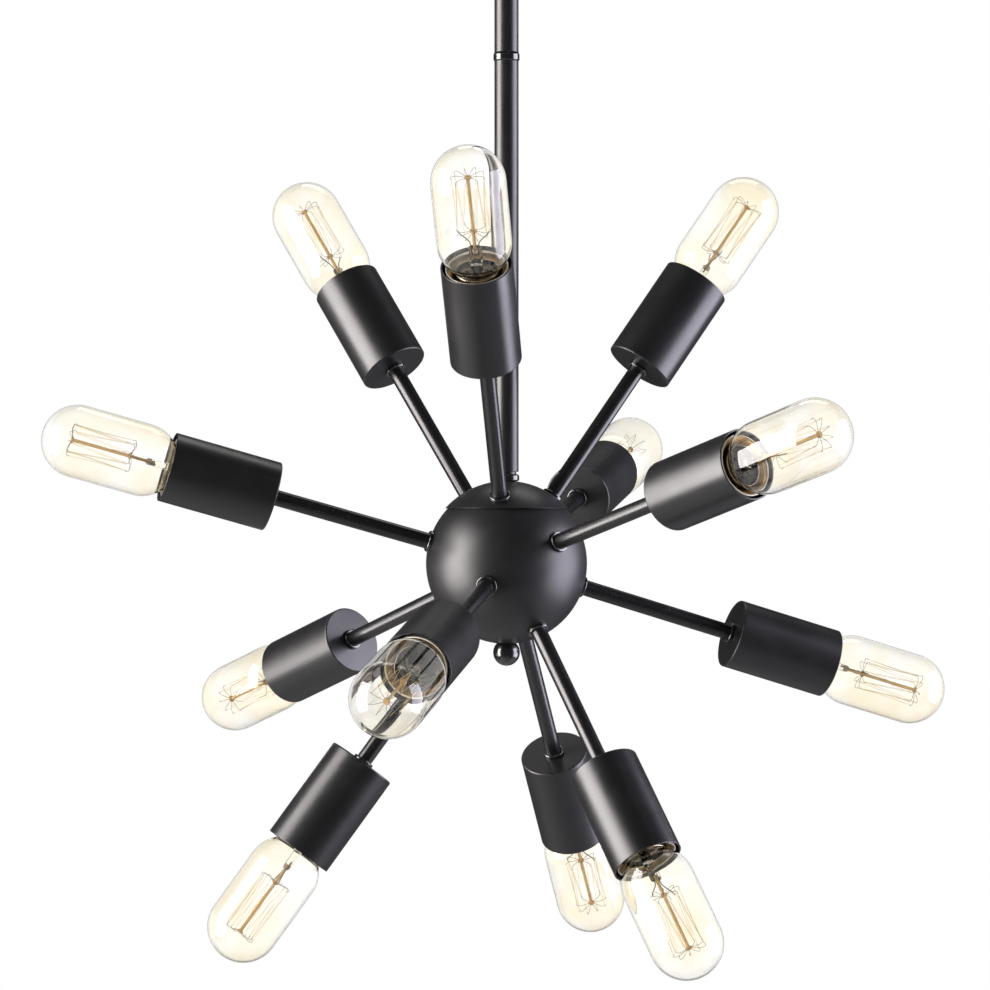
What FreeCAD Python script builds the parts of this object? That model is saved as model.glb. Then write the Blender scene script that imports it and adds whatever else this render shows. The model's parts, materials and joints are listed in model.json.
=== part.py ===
import FreeCAD, Part
import math
import os
import re
import Sketcher

# Sputnik chandelier: a hollow sphere on a rod, with twelve arms that each end in a lamp cup.
# Frame: millimetres, +Z up, origin on the ceiling plane above the rod.

doc = FreeCAD.newDocument("SputnikChandelier")
sheet = doc.addObject("Spreadsheet::Sheet", "Dimensions")

# Driving dimensions: lengths in millimetres, angles in degrees.
dimensions = {
    # sphere and lid
    "sphere_radius": 50.5,
    "sphere_wall": 1.2,
    "sphere_mouth_elevation": 44.2,
    "lid_wall": 1.2,
    "lid_rim_elevation": 41.8,
    # threaded tubes, the holes they pass through and the play between pieces
    "thread_radius": 5.0,
    "wire_hole_radius": 3.2,
    "hole_clearance": 0.1,
    "fit_clearance": 0.05,
    # arms with their rings and nuts
    "arm_wall": 1.2,
    "arm_inset": 9.0,
    "arm_collar_radius": 6.7,
    "arm_collar_height": 2.3,
    "arm_collar_round": 0.9,
    "arm_nut_flats": 12.0,
    "arm_nut_height": 2.6,
    # lamp cups
    "cup_distance": 154.0,
    "cup_radius": 21.8,
    "cup_length": 67.8,
    "cup_wall": 1.1,
    "cup_edge_round": 1.0,
    # lampholders
    "holder_distance": 168.0,
    "holder_neck_radius": 8.0,
    "holder_neck_height": 6.0,
    "holder_radius": 17.0,
    "holder_rim_radius": 18.9,
    "holder_rim_height": 3.5,
    "holder_recess": 1.5,
    "holder_lip": 0.65,
    "holder_lip_depth": 1.0,
    "holder_dish_depth": 5.5,
    "holder_cavity_radius": 14.2,
    "holder_floor": 8.0,
    "thread_grip": 10.0,
    "shell_wall": 0.4,
    "shell_lift": 3.0,
    "tongue_width": 6.0,
    "tongue_thickness": 0.8,
    "tongue_foot": 10.0,
    "tongue_heel": 6.2,
    "tongue_tip": 4.0,
    # lamps with a medium screw cap, which rest on the holder's contact
    "lamp_rest": 5.5,
    "lamp_length": 110.0,
    "lamp_radius": 22.5,
    "lamp_glass_wall": 0.8,
    "lamp_neck_radius": 12.3,
    "lamp_neck_rise": 0.7,
    "lamp_neck_sunk": 13.0,
    "cap_radius": 13.1,
    "cap_wall": 0.5,
    "cap_chamfer": 0.9,
    "cap_height": 22.0,
    "contact_radius": 4.75,
    "contact_height": 1.6,
    "insulator_height": 3.4,
    "insulator_radius": 11.8,
    "pinch_radius": 3.4,
    "pinch_height": 30.0,
    "flare_height": 17.0,
    "post_radius": 0.9,
    "post_height": 78.0,
    "hub_radius": 2.2,
    "hub_height": 1.6,
    "lower_hub_height": 39.5,
    # directions of the arms, three to a ring
    "ring_step": 120.0,
    "top_elevation": 53.8,
    "top_azimuth": 142.2,
    "upper_elevation": 15.7,
    "upper_azimuth": 71.5,
    "lower_elevation": -16.9,
    "lower_azimuth": 14.0,
    "bottom_elevation": -53.6,
    "bottom_azimuth": 70.3,
    "rear_arm_droop": 2.4,
    "front_arm_lift": 1.6,
    "front_arm_turn": 1.7,
    # collar, nut and finial on the centre rod
    "collar_radius": 8.0,
    "collar_height": 4.3,
    "collar_chamfer": 0.8,
    "rod_nut_flats": 14.0,
    "rod_nut_height": 4.0,
    "finial_radius": 8.4,
    "finial_drop": 5.6,
    "finial_bore_depth": 8.2,
    # rods and their coupler
    "rod_radius": 7.6,
    "rod_wall": 1.5,
    "rod_length": 257.8,
    "rod_neck_radius": 6.25,
    "rod_neck_height": 1.6,
    "rod_plug_height": 10.0,
    "coupler_radius": 8.2,
    "coupler_height": 5.5,
    "coupler_bevel": 0.6,
    "spigot_length": 9.0,
    "spigot_wall": 1.5,
    # hang-straight swivel
    "clevis_flange_radius": 9.5,
    "clevis_flange_height": 3.0,
    "clevis_drop": 10.5,
    "clevis_width": 15.2,
    "clevis_slot": 7.0,
    "nipple_height": 13.0,
    "eye_shoulder": 9.5,
    "eye_barrel_height": 6.0,
    "eye_side_clearance": 0.2,
    "pin_radius": 2.0,
    "pin_head_radius": 3.6,
    "pin_head_height": 1.4,
    # canopy and crossbar
    "canopy_radius": 62.5,
    "canopy_depth": 25.0,
    "canopy_wall": 1.2,
    "canopy_round": 6.0,
    "canopy_lip": 3.0,
    "hanger_nut_flats": 15.0,
    "hanger_nut_height": 4.0,
    "bar_length": 104.0,
    "bar_width": 16.0,
    "bar_thickness": 2.5,
    "bar_slot_spacing": 79.4,
    "bar_slot_length": 14.0,
    "bar_slot_width": 4.5,
    "bar_centre_hole_radius": 5.0,
    "screw_spacing": 50.8,
    "screw_radius": 2.0,
    "screw_head_radius": 4.0,
    "screw_end": 5.0,
    "cap_nut_radius": 5.0,
    "cap_nut_foot_radius": 4.2,
    "cap_nut_foot_height": 2.0,
}
for row, (word, value) in enumerate(dimensions.items(), 1):
    sheet.set(f"A{row}", word)
    sheet.set(f"B{row}", str(value))
    sheet.setAlias(f"B{row}", word)
doc.recompute()


def number(formula):
    """Value of a formula written with the sheet's words."""
    return float(sheet.evalExpression(formula))


def bound(formula):
    """The same formula as the document's other objects read it."""
    return re.sub(r"[a-z]+(_[a-z]+)+", lambda word: "Dimensions." + word.group(), formula)


# ---- drawing helpers ----
def new_sketch(body, name, role):
    sketch = body.newObject("Sketcher::SketchObject", name + "_sketch")
    plane = [item for item in body.Origin.OriginFeatures if item.Role == role][0]
    sketch.AttachmentSupport = [(plane, "")]
    sketch.MapMode = "FlatFace"
    return sketch


def size_sketch(sketch, kind, formula, *places):
    """Adds a dimension to a sketch and binds it to a formula."""
    index = sketch.addConstraint(Sketcher.Constraint(kind, *places, number(formula)))
    if formula != "0":
        sketch.renameConstraint(index, f"size{index}")
        sketch.setExpression(f"Constraints.size{index}", bound(formula))


def arc_between(start, end, radius):
    chord = end - start
    across = FreeCAD.Vector(-chord.y, chord.x, 0).normalize()
    rise = math.sqrt(max(radius ** 2 - (chord.Length / 2) ** 2, 0))
    centre = start + chord * 0.5 + across * math.copysign(rise, radius)
    first, last = (start, end) if radius > 0 else (end, start)
    first_angle = math.atan2(first.y - centre.y, first.x - centre.x)
    last_angle = math.atan2(last.y - centre.y, last.x - centre.x)
    circle = Part.Circle(centre, FreeCAD.Vector(0, 0, 1), abs(radius))
    return Part.ArcOfCircle(circle, first_angle, last_angle)


def draw_outline(sketch, corners):
    """Closed outline through corners (x, y), or (x, y, radius) where a round stretch ends.

    A positive radius curves to the left of the way of travel, a negative one to the right.
    """
    places = [FreeCAD.Vector(number(x), number(y), 0) for x, y, *_ in corners]
    radii = [number(corner[2]) if len(corner) == 3 else 0 for corner in corners]
    first_edge = sketch.GeometryCount
    for index, radius in enumerate(radii):
        start, end = places[index - 1], places[index]
        edge = arc_between(start, end, radius) if radius else Part.LineSegment(start, end)
        sketch.addGeometry(edge, False)
    for index, corner in enumerate(corners):
        following = (index + 1) % len(corners)
        end_point = 1 if radii[index] < 0 else 2
        start_point = 2 if radii[following] < 0 else 1
        edge = first_edge + index
        next_edge = first_edge + following
        sketch.addConstraint(
            Sketcher.Constraint("Coincident", edge, end_point, next_edge, start_point))
        size_sketch(sketch, "DistanceX", corner[0], -1, 1, edge, end_point)
        size_sketch(sketch, "DistanceY", corner[1], -1, 1, edge, end_point)
        if radii[index]:
            size_sketch(sketch, "Radius", f"abs({corner[2]})", edge)


def draw_circle(sketch, across, radius):
    """Circle on the sketch's own X axis."""
    centre = FreeCAD.Vector(number(across), 0, 0)
    circle = Part.Circle(centre, FreeCAD.Vector(0, 0, 1), number(radius))
    edge = sketch.GeometryCount
    sketch.addGeometry(circle, False)
    size_sketch(sketch, "DistanceX", across, -1, 1, edge, 3)
    size_sketch(sketch, "DistanceY", "0", -1, 1, edge, 3)
    size_sketch(sketch, "Radius", radius, edge)


def add_turned(body, name, corners):
    """Turns an outline of (radius, height) corners about the body's Z axis."""
    sketch = new_sketch(body, name, "XZ_Plane")
    draw_outline(sketch, corners)
    turn = body.newObject("PartDesign::Revolution", name + "_turn")
    turn.Profile = sketch
    turn.ReferenceAxis = (sketch, ["V_Axis"])
    turn.Angle = 360


def add_slab(body, name, corners, thickness, role="XZ_Plane"):
    """Pads a side outline to both sides of its plane."""
    sketch = new_sketch(body, name, role)
    draw_outline(sketch, corners)
    pad = body.newObject("PartDesign::Pad", name + "_pad")
    pad.Profile = sketch
    pad.Midplane = True
    pad.setExpression("Length", bound(thickness))


def cut_through(body, name, role, draw):
    """Cuts what a sketch outlines right through a body, to both sides of its plane."""
    sketch = new_sketch(body, name, role)
    draw(sketch)
    pocket = body.newObject("PartDesign::Pocket", name + "_cut")
    pocket.Profile = sketch
    pocket.Type = "ThroughAll"
    pocket.Midplane = True


def new_body(name):
    return doc.addObject("PartDesign::Body", name)


def turned(name, corners):
    body = new_body(name)
    add_turned(body, name, corners)
    return body


def tube(name, inner, outer, foot, top):
    return turned(name, [(inner, foot), (outer, foot), (outer, top), (inner, top)])


def hex_nut(name, flats, height):
    """A hexagon nut on the ceiling plane's Z axis, with flat sides towards its X axis."""
    prism = doc.addObject("Part::Prism", name + "_hexagon")
    prism.Polygon = 6
    prism.setExpression("Circumradius", bound(f"{flats} / sqrt(3)"))
    prism.setExpression("Height", bound(height))
    prism.Placement.Rotation = FreeCAD.Rotation(30, 0, 0)
    bore = doc.addObject("Part::Cylinder", name + "_bore")
    bore.setExpression("Radius", bound("thread_radius + fit_clearance"))
    bore.setExpression("Height", bound(height))
    nut = doc.addObject("Part::Cut", name)
    nut.Base = prism
    nut.Tool = bore
    return nut


def lower_to(thing, height):
    """Moves an object along the rod's axis to a height given by a formula."""
    thing.setExpression("Placement.Base.z", bound(height))


def joined(name, members):
    """One node or pattern made of separate solids."""
    compound = doc.addObject("Part::Compound", name)
    compound.Links = members
    return compound


def pair_across(name, pattern, height):
    """Copies of a pattern at the two canopy screws."""
    members = []
    for side, word in ((-1, "left"), (1, "right")):
        link = doc.addObject("App::Link", f"{name}_{word}")
        link.LinkedObject = pattern
        link.setExpression("Placement.Base.x", bound(f"{side} * screw_spacing / 2"))
        link.setExpression("Placement.Base.z", bound(height))
        members.append(link)
    return members


# ---- places that pieces share ----
hole_radius = "(thread_radius + hole_clearance)"
tapped_radius = "(thread_radius + fit_clearance)"
lid_inside = "(sphere_radius + fit_clearance)"
lid_outside = f"({lid_inside} + lid_wall)"
sphere_inside = "(sphere_radius - sphere_wall)"


def height_on_ball(ball_radius, radius):
    """Height on a ball at which it is as wide as a radius, or radius at a height."""
    return f"sqrt({ball_radius}^2 - {radius}^2)"


def nut_seat(ball_radius, flats):
    """Distance from the centre at which a nut's corners meet a round inner wall."""
    return f"sqrt({ball_radius}^2 - {flats}^2 / 3)"


# heights from the sphere's centre
mouth_height = "(sphere_radius * sin(sphere_mouth_elevation))"
rim_height = f"({lid_outside} * sin(lid_rim_elevation))"
collar_seat = height_on_ball(lid_outside, hole_radius)
collar_top = f"({collar_seat} + collar_height)"
finial_seat = height_on_ball("sphere_radius", hole_radius)

# heights from the ceiling down
pivot = "(-canopy_depth - clevis_flange_height - clevis_drop)"
upper_rod_top = f"({pivot} - eye_shoulder - eye_barrel_height)"
upper_rod_foot = f"({upper_rod_top} - rod_length)"
lower_rod_top = f"({upper_rod_foot} - coupler_height)"
lower_rod_foot = f"({lower_rod_top} - rod_length)"
sphere_centre = f"({lower_rod_foot} - rod_neck_height - {collar_top})"

# distances along an arm from the sphere's centre
cup_mouth = "(cup_distance + cup_length)"
holder_mouth = f"({cup_mouth} - holder_recess)"
arm_end = "(holder_distance + thread_grip)"
cavity_floor = f"({arm_end} + holder_floor)"
dish_floor = f"({holder_mouth} - holder_dish_depth)"
lip_inside = "(holder_rim_radius - holder_lip)"
lamp_foot = f"({cavity_floor} + lamp_rest)"
lamp_tip = f"({lamp_foot} + lamp_length)"
cap_foot = f"({lamp_foot} + contact_height + insulator_height)"
cap_top = f"({cap_foot} + cap_height)"

# ---- directions of the twelve arms ----
rings = {
    "top": ["01", "02", "03"],
    "upper": ["04", "05", "06"],
    "lower": ["07", "08", "09"],
    "bottom": ["10", "11", "12"],
}
# two arms stand a little off their ring
off_ring = {
    "08": ("-rear_arm_droop", "+0"),
    "09": ("+front_arm_lift", "+front_arm_turn"),
}


def arm_turn(ring, light):
    """Turns +Z to an arm's direction."""
    step = rings[ring].index(light)
    lift, turn = off_ring.get(light, ("+0", "+0"))
    azimuth = f"{ring}_azimuth + {step} * ring_step {turn}"
    return f"rotation({azimuth}; 90 - ({ring}_elevation {lift}); 0)"


def on_arm(name, pattern, ring, light, distance="0", flip=0):
    """Copy of a pattern on one arm, its +Z outwards, or inwards when flipped."""
    link = doc.addObject("App::Link", name)
    link.LinkedObject = pattern
    base = f"placement(vector(0; 0; {sphere_centre}); {arm_turn(ring, light)})"
    shift = f"placement(vector(0; 0; {distance}); rotation(0; {flip}; 0))"
    link.setExpression("Placement", bound(f"{base} * {shift}"))
    return link


def on_arms(name, pattern, ring_names=tuple(rings), distance="0", flip=0):
    return [on_arm(f"{name}_{light}", pattern, ring, light, distance, flip)
            for ring in ring_names for light in rings[ring]]


def drilled(name, shell, ring_names):
    """Bores a hole through a shell for each arm of some rings and hangs it on the rod."""
    tools = []
    for ring in ring_names:
        for light in rings[ring]:
            tool = doc.addObject("Part::Cylinder", f"arm_hole_{light}")
            tool.setExpression("Radius", bound(hole_radius))
            tool.setExpression("Height", "Dimensions.sphere_radius")
            turn = f"placement(vector(0; 0; 0); {arm_turn(ring, light)})"
            start = "placement(vector(0; 0; sphere_radius / 2); rotation(0; 0; 0))"
            tool.setExpression("Placement", bound(f"{turn} * {start}"))
            tools.append(tool)
    holes = doc.addObject("Part::MultiFuse", name + "_holes")
    holes.Shapes = tools
    cut = doc.addObject("Part::Cut", name)
    cut.Base = shell
    cut.Tool = holes
    lower_to(cut, sphere_centre)
    return cut


body_rings = ("upper", "lower", "bottom")
nodes = {}

# ---- sphere and lid ----
sphere_shell = turned("sphere_shell", [
    (hole_radius, f"-{finial_seat}"),
    (height_on_ball("sphere_radius", mouth_height), mouth_height, "sphere_radius"),
    (height_on_ball(sphere_inside, mouth_height), mouth_height),
    (hole_radius, f"-{height_on_ball(sphere_inside, hole_radius)}", f"-{sphere_inside}"),
])
lid_shell = turned("lid_shell", [
    (height_on_ball(lid_outside, rim_height), rim_height),
    (hole_radius, collar_seat, lid_outside),
    (hole_radius, height_on_ball(lid_inside, hole_radius)),
    (height_on_ball(lid_inside, rim_height), rim_height, f"-{lid_inside}"),
])
nodes["sphere_body"] = drilled("sphere_body", sphere_shell, body_rings)
nodes["sphere_lid"] = drilled("sphere_lid", lid_shell, ["top"])

# ---- centre rod with its nut, collar and finial ----
rod_end = f"({finial_seat} + finial_bore_depth)"
nodes["centre_rod"] = tube(
    "centre_rod", "wire_hole_radius", "thread_radius", f"hole_clearance - {rod_end}",
    f"{collar_top} + rod_neck_height + rod_plug_height")
nodes["stem_collar"] = turned("stem_collar", [
    (tapped_radius, collar_seat),
    ("collar_radius - collar_chamfer", collar_seat),
    ("collar_radius", f"{collar_seat} + collar_chamfer"),
    ("collar_radius", f"{collar_top} - collar_chamfer"),
    ("collar_radius - collar_chamfer", collar_top),
    (tapped_radius, collar_top),
])
nodes["finial"] = turned("finial", [
    ("0", f"-({finial_seat} + finial_drop + finial_radius)"),
    (height_on_ball("finial_radius", "finial_drop"), f"-{finial_seat}", "finial_radius"),
    (tapped_radius, f"-{finial_seat}"),
    (tapped_radius, f"-{rod_end}"),
    ("0", f"-{rod_end}"),
])
for name in ("centre_rod", "stem_collar", "finial"):
    lower_to(nodes[name], sphere_centre)
nodes["rod_nut"] = hex_nut("rod_nut", "rod_nut_flats", "rod_nut_height")
rod_nut_foot = f"{nut_seat(lid_inside, 'rod_nut_flats')} - rod_nut_height"
lower_to(nodes["rod_nut"], f"{sphere_centre} + {rod_nut_foot}")

# ---- rods and coupler ----
rod_bore = "(rod_radius - rod_wall)"
spigot_radius = f"({rod_bore} - fit_clearance)"
spigot_bore = f"({spigot_radius} - spigot_wall)"
nodes["stem_upper"] = tube("stem_upper", rod_bore, "rod_radius", "0", "rod_length")
lower_to(nodes["stem_upper"], upper_rod_foot)
nodes["stem_lower"] = turned("stem_lower", [
    (tapped_radius, "-rod_neck_height"),
    ("rod_neck_radius", "-rod_neck_height"),
    ("rod_neck_radius", "0"),
    ("rod_radius", "0"),
    ("rod_radius", "rod_length"),
    (rod_bore, "rod_length"),
    (rod_bore, "rod_plug_height"),
    (tapped_radius, "rod_plug_height"),
])
lower_to(nodes["stem_lower"], lower_rod_foot)
nodes["stem_coupler"] = turned("stem_coupler", [
    (spigot_bore, "-spigot_length"),
    (spigot_radius, "-spigot_length"),
    (spigot_radius, "0"),
    ("coupler_radius - coupler_bevel", "0"),
    ("coupler_radius", "coupler_bevel"),
    ("coupler_radius", "coupler_height - 2 * coupler_bevel"),
    ("coupler_radius - coupler_bevel", "coupler_height"),
    (spigot_radius, "coupler_height"),
    (spigot_radius, "coupler_height + spigot_length"),
    (spigot_bore, "coupler_height + spigot_length"),
])
lower_to(nodes["stem_coupler"], lower_rod_top)

# ---- hang-straight swivel: its pin lies along Y, and both halves are drawn about it ----
clevis_half = "(clevis_width / 2)"
slot_half = "(clevis_slot / 2)"
eye_half = f"({clevis_half} - eye_side_clearance)"


def draw_pin_hole(sketch):
    draw_circle(sketch, "0", "pin_radius + fit_clearance")


def draw_clevis_slot(sketch):
    draw_outline(sketch, [
        (slot_half, "-clevis_width"),
        (slot_half, "clevis_drop"),
        (f"-{slot_half}", "clevis_drop"),
        (f"-{slot_half}", "-clevis_width"),
    ])


clevis = new_body("swivel_clevis")
add_slab(clevis, "clevis_cheeks", [
    ("0", f"-{clevis_half}", clevis_half),
    (clevis_half, "0", clevis_half),
    (clevis_half, "clevis_drop"),
    (f"-{clevis_half}", "clevis_drop"),
    (f"-{clevis_half}", "0"),
], "clevis_width")
cut_through(clevis, "clevis_slot", "YZ_Plane", draw_clevis_slot)
cut_through(clevis, "clevis_pin_hole", "XZ_Plane", draw_pin_hole)
add_turned(clevis, "clevis_nipple", [
    ("wire_hole_radius", "clevis_drop"),
    ("clevis_flange_radius", "clevis_drop"),
    ("clevis_flange_radius", "clevis_drop + clevis_flange_height"),
    ("thread_radius", "clevis_drop + clevis_flange_height"),
    ("thread_radius", "clevis_drop + clevis_flange_height + nipple_height"),
    ("wire_hole_radius", "clevis_drop + clevis_flange_height + nipple_height"),
])
eye = new_body("swivel_eye")
add_slab(eye, "eye_tongue", [
    (eye_half, "-eye_shoulder"),
    (eye_half, "0"),
    ("0", eye_half, eye_half),
    (f"-{eye_half}", "0", eye_half),
    (f"-{eye_half}", "-eye_shoulder"),
], "clevis_slot - 2 * eye_side_clearance")
cut_through(eye, "eye_pin_hole", "XZ_Plane", draw_pin_hole)
add_turned(eye, "eye_barrel", [
    ("0", "-(eye_shoulder + eye_barrel_height + spigot_length)"),
    (spigot_radius, "-(eye_shoulder + eye_barrel_height + spigot_length)"),
    (spigot_radius, "-(eye_shoulder + eye_barrel_height)"),
    ("rod_radius", "-(eye_shoulder + eye_barrel_height)"),
    ("rod_radius", "-eye_shoulder"),
    ("0", "-eye_shoulder"),
])
pin = turned("swivel_pin", [
    ("0", f"-({clevis_half} + pin_head_height)"),
    ("pin_head_radius * 0.8", f"-({clevis_half} + pin_head_height)"),
    ("pin_head_radius", f"-{clevis_half}"),
    ("pin_radius", f"-{clevis_half}"),
    ("pin_radius", clevis_half),
    ("pin_head_radius", clevis_half),
    ("pin_head_radius * 0.8", f"{clevis_half} + pin_head_height"),
    ("0", f"{clevis_half} + pin_head_height"),
])
pin.Placement.Rotation = FreeCAD.Rotation(FreeCAD.Vector(1, 0, 0), 90)
for piece in (clevis, eye, pin):
    lower_to(piece, pivot)
    nodes[piece.Name] = piece

# ---- canopy and what hangs it ----
canopy = turned("canopy", [
    (hole_radius, "-canopy_depth"),
    ("canopy_radius - canopy_round", "-canopy_depth"),
    ("canopy_radius", "canopy_round - canopy_depth", "canopy_round"),
    ("canopy_radius", "0"),
    ("canopy_radius - canopy_lip", "0"),
    ("canopy_radius - canopy_lip", "-canopy_wall"),
    ("canopy_radius - canopy_wall", "-canopy_wall"),
    ("canopy_radius - canopy_wall", "canopy_round - canopy_depth"),
    ("canopy_radius - canopy_round", "canopy_wall - canopy_depth",
     "-(canopy_round - canopy_wall)"),
    (hole_radius, "canopy_wall - canopy_depth"),
])


def draw_screw_holes(sketch):
    for side in ("-screw_spacing / 2", "screw_spacing / 2"):
        draw_circle(sketch, side, "screw_radius + 3 * hole_clearance")


cut_through(canopy, "canopy_holes", "XY_Plane", draw_screw_holes)
nodes["canopy"] = canopy
nodes["hanger_nut"] = hex_nut("hanger_nut", "hanger_nut_flats", "hanger_nut_height")
lower_to(nodes["hanger_nut"], "canopy_wall - canopy_depth")

bar = new_body("bar_strap")
bar_half = "(bar_width / 2)"
bar_reach = f"(bar_length / 2 - {bar_half})"
add_slab(bar, "bar_outline", [
    (bar_reach, f"-{bar_half}"),
    (f"{bar_reach} + {bar_half}", "0", bar_half),
    (bar_reach, bar_half, bar_half),
    (f"-{bar_reach}", bar_half),
    (f"-{bar_reach} - {bar_half}", "0", bar_half),
    (f"-{bar_reach}", f"-{bar_half}", bar_half),
], "bar_thickness", "XY_Plane")


def draw_bar_holes(sketch):
    draw_circle(sketch, "0", "bar_centre_hole_radius")
    half = "(bar_slot_width / 2)"
    run = "((bar_slot_length - bar_slot_width) / 2)"
    for middle in ("-(bar_slot_spacing / 2)", "(bar_slot_spacing / 2)"):
        draw_outline(sketch, [
            (f"{middle} + {run}", f"-{half}"),
            (f"{middle} + {run} + {half}", "0", half),
            (f"{middle} + {run}", half, half),
            (f"{middle} - {run}", half),
            (f"{middle} - {run} - {half}", "0", half),
            (f"{middle} - {run}", f"-{half}", half),
        ])


cut_through(bar, "bar_holes", "XY_Plane", draw_bar_holes)
lower_to(bar, "-bar_thickness / 2")
countersink = turned("countersink_tool", [
    ("0", "-2 * bar_thickness"),
    ("screw_radius + fit_clearance", "-2 * bar_thickness"),
    ("screw_radius + fit_clearance", "screw_radius - screw_head_radius"),
    ("screw_head_radius + fit_clearance", "0"),
    ("screw_head_radius + fit_clearance", "bar_thickness"),
    ("0", "bar_thickness"),
])
sinks = doc.addObject("Part::MultiFuse", "countersinks")
sinks.Shapes = pair_across("countersink", countersink, "0")
crossbar = doc.addObject("Part::Cut", "crossbar")
crossbar.Base = bar
crossbar.Tool = sinks
nodes["crossbar"] = crossbar

screw = turned("screw_pattern", [
    ("0", "-(canopy_depth + screw_end)"),
    ("screw_radius", "-(canopy_depth + screw_end)"),
    ("screw_radius", "screw_radius - screw_head_radius"),
    ("screw_head_radius", "0"),
    ("0", "0"),
])
nodes["canopy_screws"] = joined("canopy_screws", pair_across("screw", screw, "0"))
ball_rise = height_on_ball("cap_nut_radius", "cap_nut_foot_radius")
cap_nut = turned("cap_nut_pattern", [
    ("0", f"-(cap_nut_foot_height + {ball_rise} + cap_nut_radius)"),
    ("cap_nut_foot_radius", "-cap_nut_foot_height", "cap_nut_radius"),
    ("cap_nut_foot_radius", "0"),
    ("screw_radius + fit_clearance", "0"),
    ("screw_radius + fit_clearance", "-(screw_end + hole_clearance)"),
    ("0", "-(screw_end + hole_clearance)"),
])
nodes["canopy_cap_nuts"] = joined(
    "canopy_cap_nuts", pair_across("cap_nut", cap_nut, "-canopy_depth"))

# ---- arms with their rings and nuts ----
arm = tube("arm_pattern", "thread_radius - arm_wall", "thread_radius",
           "sphere_radius - arm_inset", f"{arm_end} - hole_clearance")
nodes["arms"] = joined("arms", on_arms("arm", arm))

ring_pattern = turned("arm_collar_pattern", [
    (tapped_radius, "0"),
    ("arm_collar_radius", "0"),
    ("arm_collar_radius", "arm_collar_height - arm_collar_round"),
    ("arm_collar_radius - arm_collar_round", "arm_collar_height", "arm_collar_round"),
    (tapped_radius, "arm_collar_height"),
])
nodes["arm_collars"] = joined(
    "arm_collars",
    on_arms("ball_collar", ring_pattern, body_rings, finial_seat)
    + on_arms("lid_collar", ring_pattern, ("top",), collar_seat)
    + on_arms("cup_collar", ring_pattern, distance="cup_distance", flip=180))

arm_nut = hex_nut("arm_nut_pattern", "arm_nut_flats", "arm_nut_height")
ball_nut_seat = nut_seat(sphere_inside, "arm_nut_flats")
lid_nut_seat = nut_seat(lid_inside, "arm_nut_flats")
nodes["arm_nuts"] = joined(
    "arm_nuts",
    on_arms("ball_nut", arm_nut, body_rings, f"{ball_nut_seat} - arm_nut_height")
    + on_arms("lid_nut", arm_nut, ("top",), f"{lid_nut_seat} - arm_nut_height")
    + on_arms("cup_nut", arm_nut, distance="cup_distance + cup_wall"))

# ---- cups ----
cup = turned("cup_pattern", [
    (hole_radius, "cup_distance"),
    ("cup_radius - cup_edge_round", "cup_distance"),
    ("cup_radius", "cup_distance + cup_edge_round", "cup_edge_round"),
    ("cup_radius", cup_mouth),
    ("cup_radius - cup_wall", cup_mouth),
    ("cup_radius - cup_wall", "cup_distance + cup_wall"),
    (hole_radius, "cup_distance + cup_wall"),
])
nodes["cups"] = joined("cups", on_arms("cup", cup))

# ---- lampholders ----
holder = turned("socket_pattern", [
    (tapped_radius, "holder_distance"),
    ("holder_neck_radius", "holder_distance"),
    ("holder_neck_radius", "holder_distance + holder_neck_height"),
    ("holder_radius", "holder_distance + holder_neck_height"),
    ("holder_radius", f"{holder_mouth} - holder_rim_height"),
    ("holder_rim_radius", f"{holder_mouth} - holder_rim_height"),
    ("holder_rim_radius", holder_mouth),
    (lip_inside, holder_mouth),
    (lip_inside, f"{holder_mouth} - holder_lip_depth"),
    ("holder_cavity_radius", dish_floor),
    ("holder_cavity_radius", cavity_floor),
    ("wire_hole_radius", cavity_floor),
    ("wire_hole_radius", arm_end),
    (tapped_radius, arm_end),
])
nodes["sockets"] = joined("sockets", on_arms("socket", holder))

shell_outside = "(holder_cavity_radius - fit_clearance)"
flare_outside = f"({lip_inside} - fit_clearance)"
flare_top = f"({holder_mouth} - holder_lip_depth)"
shell = turned("socket_shell_pattern", [
    (f"{shell_outside} - shell_wall", f"{cavity_floor} + shell_lift"),
    (shell_outside, f"{cavity_floor} + shell_lift"),
    (shell_outside, f"{dish_floor} + fit_clearance"),
    (flare_outside, f"{flare_top} + fit_clearance"),
    (f"{flare_outside} - shell_wall", f"{flare_top} + fit_clearance + shell_wall"),
    (f"{shell_outside} - shell_wall", f"{dish_floor} + fit_clearance + shell_wall"),
])
nodes["socket_shells"] = joined("socket_shells", on_arms("socket_shell", shell))

tongue_rise = "(lamp_rest - hole_clearance - tongue_thickness)"
tongue = new_body("tongue_pattern")
add_slab(tongue, "tongue", [
    ("-tongue_foot", "0"),
    ("-tongue_heel", "0"),
    ("-tongue_tip", tongue_rise),
    ("tongue_tip", tongue_rise),
    ("tongue_tip", f"{tongue_rise} + tongue_thickness"),
    ("-tongue_tip - tongue_thickness / 2", f"{tongue_rise} + tongue_thickness"),
    ("-tongue_heel - tongue_thickness / 2", "tongue_thickness"),
    ("-tongue_foot", "tongue_thickness"),
], "tongue_width")
nodes["socket_contacts"] = joined(
    "socket_contacts", on_arms("socket_contact", tongue, distance=cavity_floor))

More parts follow.
